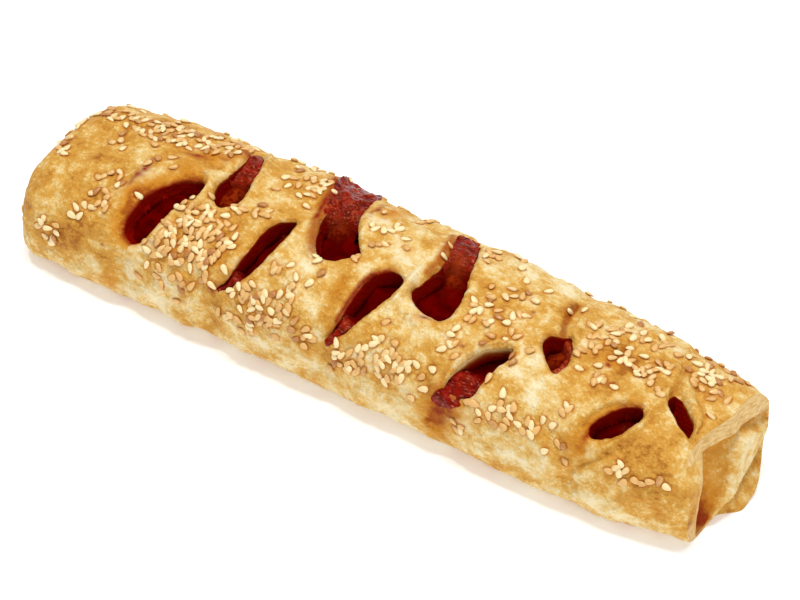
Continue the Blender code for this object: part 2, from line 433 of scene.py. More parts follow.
    def arc_of(self, x: Array, v: Array) -> Array:
        """Return the arc of girth place ``v`` at ``x``."""
        return v / self.half_girth * self.girth(x, np.asarray(v) < 0.0)

    def v_of(self, x: Array, arc: Array) -> Array:
        """Return the girth place of ``arc`` at ``x``."""
        return arc * self.half_girth / self.girth(x, np.asarray(arc) < 0.0)

    def seam(self, rows: Array) -> list[Array]:
        """Return the places of the seam under the base, as the front's edge and as the back's."""
        sides = (-self.half_girth, self.half_girth)
        return [np.stack([rows, np.full_like(rows, side)], -1) for side in sides]

    def end_shift(self, y: Array, z: Array) -> Array:
        """Return how far the right end stands out (+X) at Y and Z of its rim."""
        flap = self.back_flap * smooth(10.0, 1.0, z) * smooth(-6.0, 1.0, y)
        cut_back = self.top_cut_back * smooth(4.0, -9.0, y) * smooth(18.0, 26.0, z)
        return flap - cut_back - self.top_slant * smooth(21.0, 28.0, z)

    def point(self, s: Array, v: Array) -> Array:
        """Return points (n, 3) of the smooth roll."""
        x, keep = self.along(s)
        y, z = self.section(x, self.angle_at(x, v))
        x = x + self.end_shift(y, z) * smooth(101.0, self.length / 2.0, x)
        axis = self.axis_height * self.height(x)
        squeeze = np.sqrt(1.0 - (1.0 - np.minimum(keep / 0.3, 1.0)) ** 2)
        z = np.maximum(axis + (z - axis) * (0.35 + 0.65 * keep) * squeeze, 0.0)
        return np.stack([x, y * keep + self.bow * (1.0 - (2.0 * x / self.length) ** 2), z], -1)

    def normal(self, s: Array, v: Array) -> Array:
        """Return outward unit normals (n, 3) of the smooth roll."""
        step = 0.3
        along = self.point(s + step, v) - self.point(s - step, v)
        around = self.point(s, v + step) - self.point(s, v - step)
        normal = np.cross(along, around)
        length = np.linalg.norm(normal, axis=1, keepdims=True)
        return normal / np.maximum(length, 1e-9)

    def rounded_core(self, points: Array, x: Array, ends: Place, radius: float, fullness: float) -> Array:
        """Return a core's points drawn in towards the axis near the core's two ends.

        Args:
            points: Points (n, 3) of the core.
            x: Their places along the roll.
            ends: Where the core starts and stops.
            radius: How far from its ends it is rounded.
            fullness: Share of the section that is left between the rounded ends.

        Returns:
            The points (n, 3).
        """
        middle, half = (ends[0] + ends[1]) / 2.0, (ends[1] - ends[0]) / 2.0
        into = np.clip(1.0 - (half - np.abs(x - middle)) / radius, 0.0, 0.99)
        keep = np.sqrt(1.0 - into**2)[:, None]
        axis = np.stack([x, np.zeros_like(x), self.axis_height * self.height(x)], -1)
        return axis + (points - axis) * (0.12 + fullness * keep)


@dataclass(frozen=True)
class Slit:
    """One knife cut that opened in the oven.

    ``outline`` is the hole's edge at the skin as (x, arc). The crust sinks gently into the hole on the
    side that ``gentle`` points to and breaks off sharply on the other. ``crease`` runs from the head
    of the cut to its tail and on down the side of the roll.
    """

    name: str
    outline: Line
    head: Place
    tail: Place
    gentle: Place = (-1.0, 0.25)
    bend: float = 0.0
    lip: float = 1.3
    drop: float = 0.4
    stain: float = 0.5
    crumb: float = 0.0
    blind: bool = False


FRONT_SLITS = (
    Slit("front_1",
         ((-58.6, -3.2), (-62.6, -4.4), (-66, -7.4), (-68.6, -11.6), (-70.2, -17), (-70.6, -22.4),
          (-69.8, -26.8), (-66.8, -28.6), (-63.8, -27.4), (-61.7, -23.5), (-60.3, -19), (-59.2, -15),
          (-57, -11), (-55.2, -7.6), (-55.9, -4.2)), (-57.5, -3), (-68.5, -29.5), bend=0.5, lip=4.4, drop=1.2,
         stain=1.0),
    Slit("front_2",
         ((-25.8, -4.2), (-29.6, -6.4), (-31.6, -11), (-32.2, -17), (-32.8, -22.6), (-34.4, -28),
          (-37.2, -31.6), (-35.2, -31.2), (-31.6, -28.4), (-28.4, -23.8), (-26.2, -18), (-25.1, -12),
          (-24.8, -7.2)), (-27, -4), (-38, -32), bend=2.5, stain=0.45),
    Slit("front_3",
         ((9.4, -5.8), (6, -6.4), (3.4, -9), (2.4, -13.5), (2, -19), (1.7, -25), (0.2, -30.4), (3.4, -29),
          (5.8, -25.8), (7.6, -22.2), (9.2, -18.8), (10.6, -15.4), (12, -11.6), (11.8, -7.8)), (10, -5.5),
         (-0.5, -31), bend=0.5, lip=1.7, drop=0.6, stain=0.5),
    Slit("front_4",
         ((49.4, -12.3), (46.6, -13.2), (43.2, -15.6), (40.6, -19.6), (38.4, -24.2), (37, -29.6),
          (40.6, -30.6), (45.2, -28.8), (46.8, -24.4), (48.4, -19.4), (49.8, -15.6)), (49, -11),
         (36.5, -31.5), stain=0.5, crumb=1.0),
    Slit("front_5",
         ((88, -9.8), (84.8, -11), (82, -14.2), (79.8, -18.4), (78.8, -21.6), (80.6, -23.7), (84, -22.2),
          (86.8, -19.8), (88.6, -16.6), (89.8, -13)), (89, -9.5), (76.5, -32), gentle=(-0.8, 0.6), lip=2.6,
         drop=0.8, stain=0.8),
)
BACK_SLITS = (
    Slit("back_1",
         ((-47.6, -9.2), (-50.6, -7.6), (-52.8, -3), (-52.8, 3), (-52.8, 9), (-54, 14.6), (-53.2, 17.4),
          (-50.6, 16), (-48.4, 11.6), (-46.6, 7), (-45.2, 2), (-44, -2.8), (-44.6, -6.8)), (-48.5, -9.5),
         (-53, 20), stain=0.3),
    Slit("back_2",
         ((-11, -11.4), (-14.8, -10.3), (-17.5, -6.2), (-19.4, -1.5), (-20.7, 3.4), (-22.2, 8.4),
          (-24.2, 13.8), (-26.4, 20), (-24, 23.8), (-18.2, 22.6), (-14.6, 17), (-12.9, 10), (-11.2, 5),
          (-8.2, 0), (-5.6, -3.2), (-3.8, -5.8), (-6.6, -9.2)), (-10, -12), (-22, 21), stain=0.5),
    Slit("back_3",
         ((24, -14.2), (19, -12.8), (15.7, -9.4), (16.5, -4.6), (17.4, 1), (16.5, 7), (14.3, 13.4),
          (13.8, 18.4), (17.2, 19.8), (20.8, 15.4), (23.4, 9.6), (25.4, 3.6), (27.6, -1.4), (28.8, -5.4),
          (29.4, -10.4), (27.8, -13.6)), (22.5, -15), (17, 21), stain=0.4),
    Slit("back_4",
         ((55, -3.6), (56.4, -2), (58.4, -1.4), (60.2, -0.4), (61.8, -2), (63.6, -5.6), (64.4, -9.6),
          (63, -13.2), (60.4, -12), (57.4, -9.4), (55.2, -6.6)), (62, -13.5), (53.5, 14), stain=0.5),
    Slit("back_5",
         ((92.6, -0.8), (92, -2.6), (93.4, -5.2), (96.8, -7.6), (100.8, -9.7), (104.8, -10.6), (103.2, -7.4),
          (100.4, -4.6), (97.2, -2.2), (94.6, -0.6)), (103, -9.5), (87, 11), gentle=(0.7, 0.7), bend=-3.5,
         lip=2.6, drop=0.8, stain=0.1, blind=True),
)
SLITS = FRONT_SLITS + BACK_SLITS


@dataclass(frozen=True)
class Fold:
    """A wrinkle along a line of places: a groove, or a raised edge where ``depth`` is negative."""

    line: Line
    depth: float
    width: float
    # browner in grooves, partly as painted shade, and paler where negative on raised edges, partly as painted
    # highlight
    brown: float = 0.0
    red: float = 0.0


FOLDS = (
    Fold(((57.8, -0.6), (56, 3), (54.9, 7), (53.6, 14)), 1.5, 0.8, 0.7, 0.6),
    Fold(((60.6, 0.6), (59.4, 5), (57.8, 10), (56.2, 15)), -0.9, 1.1, -0.25),
    Fold(((62.2, 0), (61.6, 6), (60, 12)), 0.5, 0.8, 0.4),
    Fold(((92.2, -1.4), (91.2, 2), (90.4, 6), (88, 13)), 1.2, 0.8, 0.6, 0.1),
    Fold(((91.7, 6), (95, 1.6), (99.2, -2), (103, -5.8), (105.8, -9.2)), -1.2, 1.4, -0.25),
    Fold(((94, 8), (97, 3.6), (101, -0.2), (104.6, -3.8), (107.2, -7.6)), 0.8, 0.7, 0.5),
    Fold(((90.2, 2), (91, -3.2), (93.6, -6.4), (97.4, -8.8), (101.4, -10.9), (105.4, -12.2)), -0.35, 0.5,
         -0.6),
    Fold(((90.8, -10.4), (91, -14.4), (88.6, -19.6), (84.8, -24.2), (80, -29), (75, -34.6)), -0.7, 0.55,
         -0.4),
    Fold(((92.2, -11.6), (92.2, -15.8), (90.3, -21), (86.4, -25.6), (81.6, -30.4), (76.6, -36)), 0.6, 0.7,
         0.45),
    Fold(((88.2, -8.2), (83.2, -9.6), (78.9, -13.8), (76.5, -19.4), (75.2, -25.2)), -0.5, 0.9, -0.2),
    Fold(((85.6, -10.3), (80.6, -14.2), (78.2, -18.5), (78, -22.2)), 0.45, 0.5, 0.3),
    Fold(((-56.6, -0.6), (-54.7, -4.6), (-53.9, -9), (-54.4, -13)), -0.7, 1.1, -0.35),
    Fold(((13.2, -2), (13.7, -7), (14, -12), (13.2, -17)), -0.8, 1.1, -0.35),
    Fold(((13.9, -14), (17, -16), (23, -17.6)), -0.6, 1.0, -0.3),
    Fold(((-23.6, -6), (-22.9, -12), (-23.6, -18)), -0.5, 1.1, -0.2),
    Fold(((-28.6, 18.5), (-25, 11), (-22.6, 4), (-21, -1), (-19, -6.2), (-15.8, -11)), -0.3, 1.2, 0.5, 0.6),
    Fold(((11.8, 16), (14.4, 9), (16, 2), (15.6, -2)), -0.3, 1.1, 0.5, 0.6),
    Fold(((6, -6.2), (2.9, -9.6), (1.8, -14.4), (1.4, -20), (1, -25.6)), -0.1, 0.6, 0.3, 0.8),
    Fold(((37, -27), (38.2, -21.6), (40.8, -16.6), (44.8, -12.6), (48.6, -10.8)), -0.6, 0.7, -0.35),
    Fold(((35.8, -27.4), (36.9, -21.2), (39.8, -15.4), (44.2, -11.2), (48.6, -9.2)), 0.6, 0.8, 0.35),
    Fold(((-44.2, 3), (-45.8, 9), (-48.2, 15), (-50.6, 19)), -0.8, 0.9, -0.35),
    Fold(((99, -23.6), (103, -24.6), (107.5, -25)), 0.35, 0.5, 0.3),
)


@dataclass(frozen=True)
class Patch:
    """A soft-edged spot on the skin, such as a toasted place, with its middle, radii and turn."""

    x: float
    arc: float
    half_long: float
    half_wide: float
    turn: float = 0.0
    amount: float = 1.0

    def weight(self, x: Array, arc: Array) -> Array:
        """Return how strongly the spot shows at places of the skin."""
        turn = math.radians(self.turn)
        along = (x - self.x) * math.cos(turn) + (arc - self.arc) * math.sin(turn)
        across = (arc - self.arc) * math.cos(turn) - (x - self.x) * math.sin(turn)
        return self.amount * np.exp(-((along / self.half_long) ** 2) - (across / self.half_wide) ** 2)


def spots(*rows: tuple[float, ...]) -> tuple[Patch, ...]:
    """Return the spots of a table with one row for each."""
    return tuple(Patch(*row) for row in rows)


def painted(patches: Sequence[Patch], x: Array, arc: Array) -> Array:
    """Return the sum of several spots' weights."""
    return sum((patch.weight(x, arc) for patch in patches), np.zeros(len(x)))


BROWNED = spots(
    (-101, -5, 14, 30, 0, 0.5), (-83, -19, 9, 11, 0, 0.4), (-80, 14, 18, 12, 0, 0.35), (38, 2, 6, 5, 0, 0.35),
    (-86, -34, 3.5, 8, 8, 0.45), (-72, -41, 2.6, 10, 0, 0.8), (-91, -8, 2.4, 2.2, 0, 0.5),
    (-64, 6.5, 9, 4.5, 0, 0.55), (-80, 6, 10, 6, 0, 0.2), (-39, -22, 2.6, 10, 8, 0.55),
    (-36.5, -42, 3.2, 9, -22, 0.7), (-45, -46, 4, 3.5, 0, 0.4), (-27, 16, 2.6, 8, 12, 0.55),
    (-6, 16, 2.6, 7, 8, 0.9), (-2.5, -20, 2.6, 7, 0, 0.6), (1.5, -34, 2.4, 4, 0, 0.4),
    (-5, -46, 4, 3, 0, 0.45), (31, 3, 2.4, 5, 15, 0.35), (31, -29, 3, 8, 0, 0.4), (35.5, -37, 4, 8, 0, 0.8),
    (42, -6, 7, 4.5, 0, 0.5), (53.4, 10, 2.2, 9, 8, 0.85), (74, 0.5, 5.5, 4.5, 0, 1.05),
    (84, 0, 4, 3, 0, 0.45), (77, -26, 3.4, 9, -12, 0.6), (80, -8, 6, 3, 0, 0.45), (95, -20, 10, 6, 0, 0.45),
    (100, -32, 8, 5.5, 0, 0.5), (84, -33, 5, 4, 0, 0.4), (64, -45, 1.8, 5, -20, 0.4), (103, 2, 6, 12, 0, 0.2),
    (-51, -20, 5, 9, 0, 0.2), (20, -26, 7, 4, 0, 0.15), (68, -12, 4, 5, 0, 0.25), (-94, 12, 9, 5, 0, 0.2),
    (-34, 9, 5, 6, 0, 0.25)
)
# pale spots; those on the raised ridges between the slits near x -56 and x 13.5 are partly painted highlight
PALE = spots(
    (-60, -40, 9, 7, 0, 0.35), (-88, -45, 8, 4, 0, 0.3), (-15, -43, 16, 5.5, 0, 0.4),
    (-15, -16, 7, 5, 0, 0.35), (-56, -1, 2, 4, 0, 0.4), (13.5, -5, 2.4, 8, 0, 0.45),
    (20, -42, 10, 6, 0, 0.35), (38, 15, 14, 6, 0, 0.5), (0, 15, 5, 7, 0, 0.3), (53.5, -15, 3.6, 6, 0, 0.35),
    (65, 11, 4, 6, 0, 0.35), (68, -40, 8, 4, 0, 0.3), (90, -43, 14, 4, 0, 0.4), (97.5, -3, 6, 3, -40, 0.4),
    (22, -18.5, 6, 2, 0, 0.3), (62, -20, 5, 4, 0, 0.2), (4, 2, 8, 8, 0, 0.3), (42, 20, 14, 7, 0, 0.5)
)
ORANGE = spots(
    (-72.5, -15, 3.2, 10, 0, 0.6), (-65, 0.5, 7, 3, -20, 0.5), (-63, 7, 7, 3, 0, 0.6),
    (-7, 15, 2.6, 6, 8, 0.8), (-2.5, -19, 2.4, 6, -4, 0.65), (38.5, -35, 5.5, 6.5, 0, 1),
    (34, -42, 3, 5, 0, 0.9), (-24.4, 8, 2, 9, 14, 0.75), (15, 8, 1.5, 8, 10, 0.6), (-20, -5, 1.6, 5, 16, 0.5),
    (54.6, 9, 1.8, 6, 10, 0.6), (48, -7, 3, 2.6, 0, 0.45), (73, -1, 4, 3.5, 0, 0.6),
    (23, -16.6, 4, 1.2, 5, 0.4), (78, -27, 3.4, 3.6, -20, 0.7), (-56, 12, 3, 3.5, 0, 0.7),
    (-71.5, -44, 2, 6, 0, 0.5), (-37, -25, 2, 6, 0, 0.45), (99, -34, 6, 3, 0, 0.3), (-85, -34, 2, 4, 0, 0.4)
)
SPILLED = spots(
    (-75, -8.5, 1.3, 4.5, -4, 1), (-75.4, -2.6, 0.8, 2.8, 0, 0.9), (-65.5, 5.2, 3, 1, 6, 1),
    (-55, 14, 2.2, 1.6, -20, 0.85), (-58.5, 8, 2, 0.9, -20, 0.5), (-70.2, 1.8, 1.2, 0.6, 0, 0.7),
    (-91, -7.6, 1.1, 0.8, 20, 0.9), (-22.8, 6, 0.8, 8, 8, 0.6), (23.6, -15.2, 2.6, 0.6, 6, 0.8),
    (38.5, -32.4, 4.2, 3.4, -20, 0.8), (-38.2, -32, 1, 1.2, 0, 0.9), (0.2, -31.2, 1, 1.6, 0, 0.7),
    (-10.6, 12, 0.8, 6, 6, 0.7), (14, 14, 0.6, 5, 10, 0.35), (73.2, -2.8, 0.9, 0.9, 0, 0.85),
    (78, -7.8, 1.2, 0.6, 25, 0.6), (74.6, -11, 0.7, 1, 0, 0.5), (47, 1.6, 0.9, 0.7, 0, 0.85),
    (36.8, -17.4, 0.8, 0.7, 0, 0.8), (40.5, -20.5, 0.7, 2.4, -20, 0.4), (79, -24.6, 1.4, 1.4, 0, 0.7),
    (-37.4, -16.4, 0.8, 1.2, 0, 0.6), (-74.8, -31.6, 0.5, 0.35, 20, 1), (44.4, -38.6, 0.9, 0.4, 30, 0.9),
    (-44.2, -46.5, 0.6, 0.5, 0, 0.8), (83, 0.6, 1.4, 0.6, 0, 0.5), (-59, -26, 1.2, 0.8, 0, 0.4),
    (35.6, -39.4, 2.6, 3.2, 0, 0.8)
)
SEEDED = spots(
    (-104, -8, 3.5, 5.5, 0, 0.6), (-106, 6, 3, 7, 0, 0.5), (-93, 11, 8, 7, 0, 0.5),
    (-77, 10.5, 8, 6.5, 0, 0.95), (-63, 14, 7, 5, 0, 0.75), (-84, 0, 5, 3, 0, 0.3),
    (-81, -12.5, 5, 3.5, 0, 0.4), (-83, -20.5, 7, 3.2, 0, 0.42), (-87, -26, 3, 2, 0, 0.4),
    (-95, -34, 9, 5, 0, 0.36), (-54, -23, 6.5, 9.5, 0, 1), (-43, -22, 5, 9, 0, 0.85),
    (-41, -7, 7, 2.6, 0, 0.8), (-49, -12, 6, 2, 0, 0.6), (-31, 9, 9, 6, 0, 0.5), (-22, -31, 10, 6, 0, 0.9),
    (-18, -18, 6, 3, 0, 0.3), (0, 5, 9, 4.5, 0, 0.36), (-8, -33.5, 4, 2.2, 0, 0.6), (6, -35, 4, 3.2, 0, 0.9),
    (20, -31, 9, 6.5, 0, 0.62), (16, -18.5, 3, 1.6, 0, 0.8), (25, 16, 3, 4, 0, 0.45),
    (40, 0, 10, 10, 0, 0.36), (34, -20, 4, 5, 0, 0.4), (59, -29, 11, 4.2, 0, 0.56), (73, 9, 12, 7, 0, 0.62),
    (67, -1, 5, 3, 0, 0.6), (84, 0.5, 4, 3, 0, 0.6), (96, 12, 8, 7, 0, 0.45), (75, -9, 4, 1.8, 0, 0.6),
    (92.5, -28, 4, 2.2, 0, 0.6), (44, -39, 2, 1.4, 0, 0.9), (71, -20, 2, 1.6, 0, 0.5), (-4, -6, 2, 3, 0, 0.9),
    (-10, 27, 100, 6, 0, 0.15), (51, -14, 1.6, 2, 0, 0.7), (103, -26, 2.6, 2, 0, 0.5),
    (104, 0, 2.4, 2.6, 0, 0.6), (-14, -12, 4, 1, -30, 0.7)
)


@dataclass
class BakedSkin:
    """The crust's relief and how it browned: pillows, creases, lips round the slits and blisters."""

    form: RollForm
    crease_depth: float = 1.4
    crease_width: float = 3.8
    pillow_rise: float = 0.6
    hump_rise: float = 1.3
    hump_x: float = -12.0
    hump_reach: float = 36.0
    slack_x: float = -4.0
    slack_reach: float = 17.0
    slack_drop: float = 1.4
    wall: float = 3.4
    reach: float = 9.0
    rims: dict[str, Array] = field(init=False, repr=False)

    def __post_init__(self) -> None:
        """Smooth and roughen each slit's outline."""
        self.rims = {}
        for number, slit in enumerate(SLITS):
            rim = rounded(slit.outline, 0.45)
            ragged = 0.2 * lumps(rim, 2.6, number) + 0.16 * lumps(rim, 1.1, number + 40)
            self.rims[slit.name] = rim + outward(rim) * ragged[:, None]

    @staticmethod
    def cut_line(slit: Slit, arc: Array) -> Array:
        """Return the x of a cut's own line at ``arc``; past its tail it runs straight on."""
        share = np.clip((arc - slit.head[1]) / (slit.tail[1] - slit.head[1]), 0.0, 1.0)
        bend = slit.bend * 4.0 * share * (1.0 - share)
        return slit.head[0] + (slit.tail[0] - slit.head[0]) * share + bend

    def creases(self, x: Array, arc: Array, width: float) -> Array:
        """Return how deep in a crease each place lies, 1 at its bottom."""
        total = np.zeros(len(x))
        for slit in SLITS:
            side = math.copysign(1.0, slit.tail[1])
            low, high = side * mix(slit.head[1], slit.tail[1], 0.7), side * slit.tail[1] + 5.0
            total = total + smooth(low, high, side * arc) * bell(x - self.cut_line(slit, arc), width)
        return total

    def fade(self, x: Array, arc: Array) -> Array:
        """Return 1 where the skin has its pillows and 0 at the ends and under the roll."""
        half = self.form.length / 2.0
        return smooth(12.0, 30.0, np.minimum(x + half, half + 4.0 - x)) * smooth(52.0, 40.0, np.abs(arc))

    def pillows(self, x: Array, arc: Array) -> Array:
        """Return the broad relief: pillows between creases and the humped back."""
        rise = self.pillow_rise - self.crease_depth * self.creases(x, arc, self.crease_width)
        rise = rise + self.hump_rise * bell(x - self.hump_x, self.hump_reach) * smooth(-12.0, 12.0, arc)
        rise = rise - self.slack_drop * bell(x - self.slack_x, self.slack_reach) * smooth(4.0, 18.0, arc)
        return rise * self.fade(x, arc)

    def lip(self, slit: Slit, toward: Array) -> tuple[Array, Array]:
        """Return the width and the drop of a slit's lip on the side that ``toward`` points to."""
        gentle = np.array(slit.gentle) / np.hypot(*slit.gentle)
        share = smooth(-0.3, 0.75, toward @ gentle)
        return mix(0.9, slit.lip, share), mix(0.4, slit.drop, share)

    @staticmethod
    def folds(x: Array, arc: Array) -> tuple[Array, Array, Array]:
        """Return the wrinkles' relief, how much browner they are (partly painted shade and highlight) and how
        much redder.
        """
        relief, brown, red = np.zeros(len(x)), np.zeros(len(x)), np.zeros(len(x))
        places = np.stack([x, arc], -1)
        for fold in FOLDS:
            low, high = np.min(fold.line, axis=0) - 5.0, np.max(fold.line, axis=0) + 5.0
            near = np.flatnonzero(((places > low) & (places < high)).all(1))
            if len(near):
                shape = bell(line_distance(places[near], fold.line), fold.width)
                relief[near] -= fold.depth * shape
                brown[near] += fold.brown * shape
                red[near] += fold.red * shape
        return relief, brown, red

    def near_slits(self, x: Array, arc: Array) -> Iterator[tuple[Slit, Array, Array, Array]]:
        """Yield each slit, the numbers of the places near it, their distances and their nearest edges."""
        for slit in SLITS:
            rim = self.rims[slit.name]
            low, high = rim.min(0) - self.reach, rim.max(0) + self.reach
            near = np.flatnonzero((x > low[0]) & (x < high[0]) & (arc > low[1]) & (arc < high[1]))
            if len(near):
                yield slit, near, *edge_distance(np.stack([x[near], arc[near]], -1), rim)

    def rim_field(self, x: Array, arc: Array) -> tuple[Array, Array, Array]:
        """Return the lips' relief, the browning beside the slits and the red that soaked in there."""
        relief, brown, red = np.zeros(len(x)), np.zeros(len(x)), np.zeros(len(x))
        for slit, near, away, edge in self.near_slits(x, arc):
            away = np.maximum(away, 0.0)
            width, drop = self.lip(slit, outward(self.rims[slit.name])[edge])
            share = np.clip(1.0 - away / width, 0.0, 1.0)
            relief[near] -= drop * share**2.2
            relief[near] += 0.6 * bell(away - 0.75 * width - 1.2, 1.7) * smooth(0.0, 1.0, away)
            gentle = smooth(0.9, 1.4, width)
            clean = 1.0 - 0.9 * slit.crumb * bell(away, 0.8)
            brown[near] += slit.stain * bell(away, 0.8 + 0.42 * width) * mix(0.4, 0.9, gentle) * clean
            red[near] += slit.stain * bell(away, mix(0.3, 0.5, gentle)) * mix(0.3, 0.9, gentle) * clean
        return relief, brown, red

    def blisters(self, places: Array) -> Array:
        """Return the fine relief of the puffed, flaky surface at 3-D places."""
        drawn = places * (0.6, 1.0, 1.0)
        broad = 0.45 * lumps(places, 9.0, 1)
        middle = 0.36 * lumps(places, 4.6, 2)
        blister = 0.3 * smooth(0.1, 0.7, lumps(drawn, 3.1, 4))
        wrinkle = 0.22 * (1.0 - np.abs(lumps(drawn, 2.3, 7)) * 3.0).clip(0.0)
        fine = 0.16 * lumps(drawn, 1.6, 3)
        return broad + middle + blister - wrinkle + fine

    def relief(self, s: Array, v: Array) -> Array:
        """Return how far the baked skin stands out from the smooth roll."""
        x, keep = self.form.along(s)
        arc = self.form.arc_of(x, v)
        lips = self.rim_field(x, arc)[0] + self.folds(x, arc)[0]
        fine = self.blisters(self.form.point(s, v))
        lies = smooth(60.0, 50.0, np.abs(arc))
        rim = smooth(self.form.length / 2.0, self.form.length / 2.0 - 2.5, x)
        rolled = 0.9 * (1.0 - rim) * smooth(-14.0, -22.0, arc) * smooth(-44.0, -38.0, arc)
        fine = fine * mix(0.12, 1.0, lies) * (0.3 + 0.7 * rim) * keep
        return self.pillows(x, arc) + lips + fine - rolled

    def place(self, s: Array, v: Array, depth: Array | float = 0.0, lift: Array | None = None) -> Array:
        """Return points (n, 3) of the baked skin.

        Args:
            s: Way along the skin.
            v: Girth place.
            depth: How far below the skin.
            lift: The skin's relief where it is already known.

        Returns:
            The points, none of them below the base.
        """
        rise = (self.relief(s, v) if lift is None else lift) - depth
        points = self.form.point(s, v) + self.form.normal(s, v) * np.asarray(rise)[..., None]
        points[:, 2] = np.maximum(points[:, 2], 0.0)
        return points

    def tones(self, s: Array, v: Array) -> dict[str, Array]:
        """Return how the skin is coloured and seeded.

        Args:
            s: Way along the skin.
            v: Girth place.

        Returns:
            The named values of each place.
        """
        x, _ = self.form.along(s)
        arc = self.form.arc_of(x, v)
        places = self.form.point(s, v)
        _, brown, red = self.rim_field(x, arc)
        crease = self.creases(x, arc, 2.6) * self.fade(x, arc)
        mottle = 0.5 * lumps(places, 11.0, 5) + 0.6 * lumps(places, 5.0, 6) - 0.5 * self.blisters(places)
        bake = 0.37 + 0.22 * mottle + 0.2 * np.minimum(brown, 1.0) + 0.12 * np.minimum(crease, 1.0)
        _, folded, fold_red = self.folds(x, arc)
        warped = x + 1.5 * lumps(places, 4.0, 8), arc + 1.5 * lumps(places, 4.0, 9)
        # the folds' browning: partly painted shade in their grooves and painted highlight on their raised
        # edges
        bake = bake + 0.48 * painted(BROWNED, *warped) - 0.36 * painted(PALE, *warped) + 0.3 * folded
        bake = bake + 0.06 * smooth(70.0, 105.0, x) - 0.1 * smooth(-36.0, -44.0, arc)
        warped = x + 0.7 * lumps(places, 2.0, 8), arc + 0.7 * lumps(places, 2.0, 9)
        spill = painted(SPILLED, *warped) * (1.0 + 0.6 * lumps(places, 1.6, 10)) + fold_red
        orange = painted(ORANGE, *warped) * (1.0 + 0.3 * lumps(places, 4.0, 12))
        orange = orange + 0.9 * np.minimum(brown, 1.0)
        seeds = painted(SEEDED, x, arc) * smooth(50.0, 42.0, np.abs(arc))
        seeds = seeds * smooth(0.2, 0.9, self.clearance(x, arc))
        return {"bake": bake, "orange": np.clip(orange, 0.0, 1.0), "red": np.clip(spill + red, 0.0, 1.0),
                "seeded": np.clip(seeds, 0.0, 1.0), "cut": np.zeros(len(x))}

    def clearance(self, x: Array, arc: Array) -> Array:
        """Return the distance to the nearest slit, at most ``reach``, negative inside it."""
        away = np.full(len(x), self.reach)
        for _, near, found, _ in self.near_slits(x, arc):
            away[near] = np.minimum(away[near], found)
        return away


# ---------------------------------------------------------------- the crust


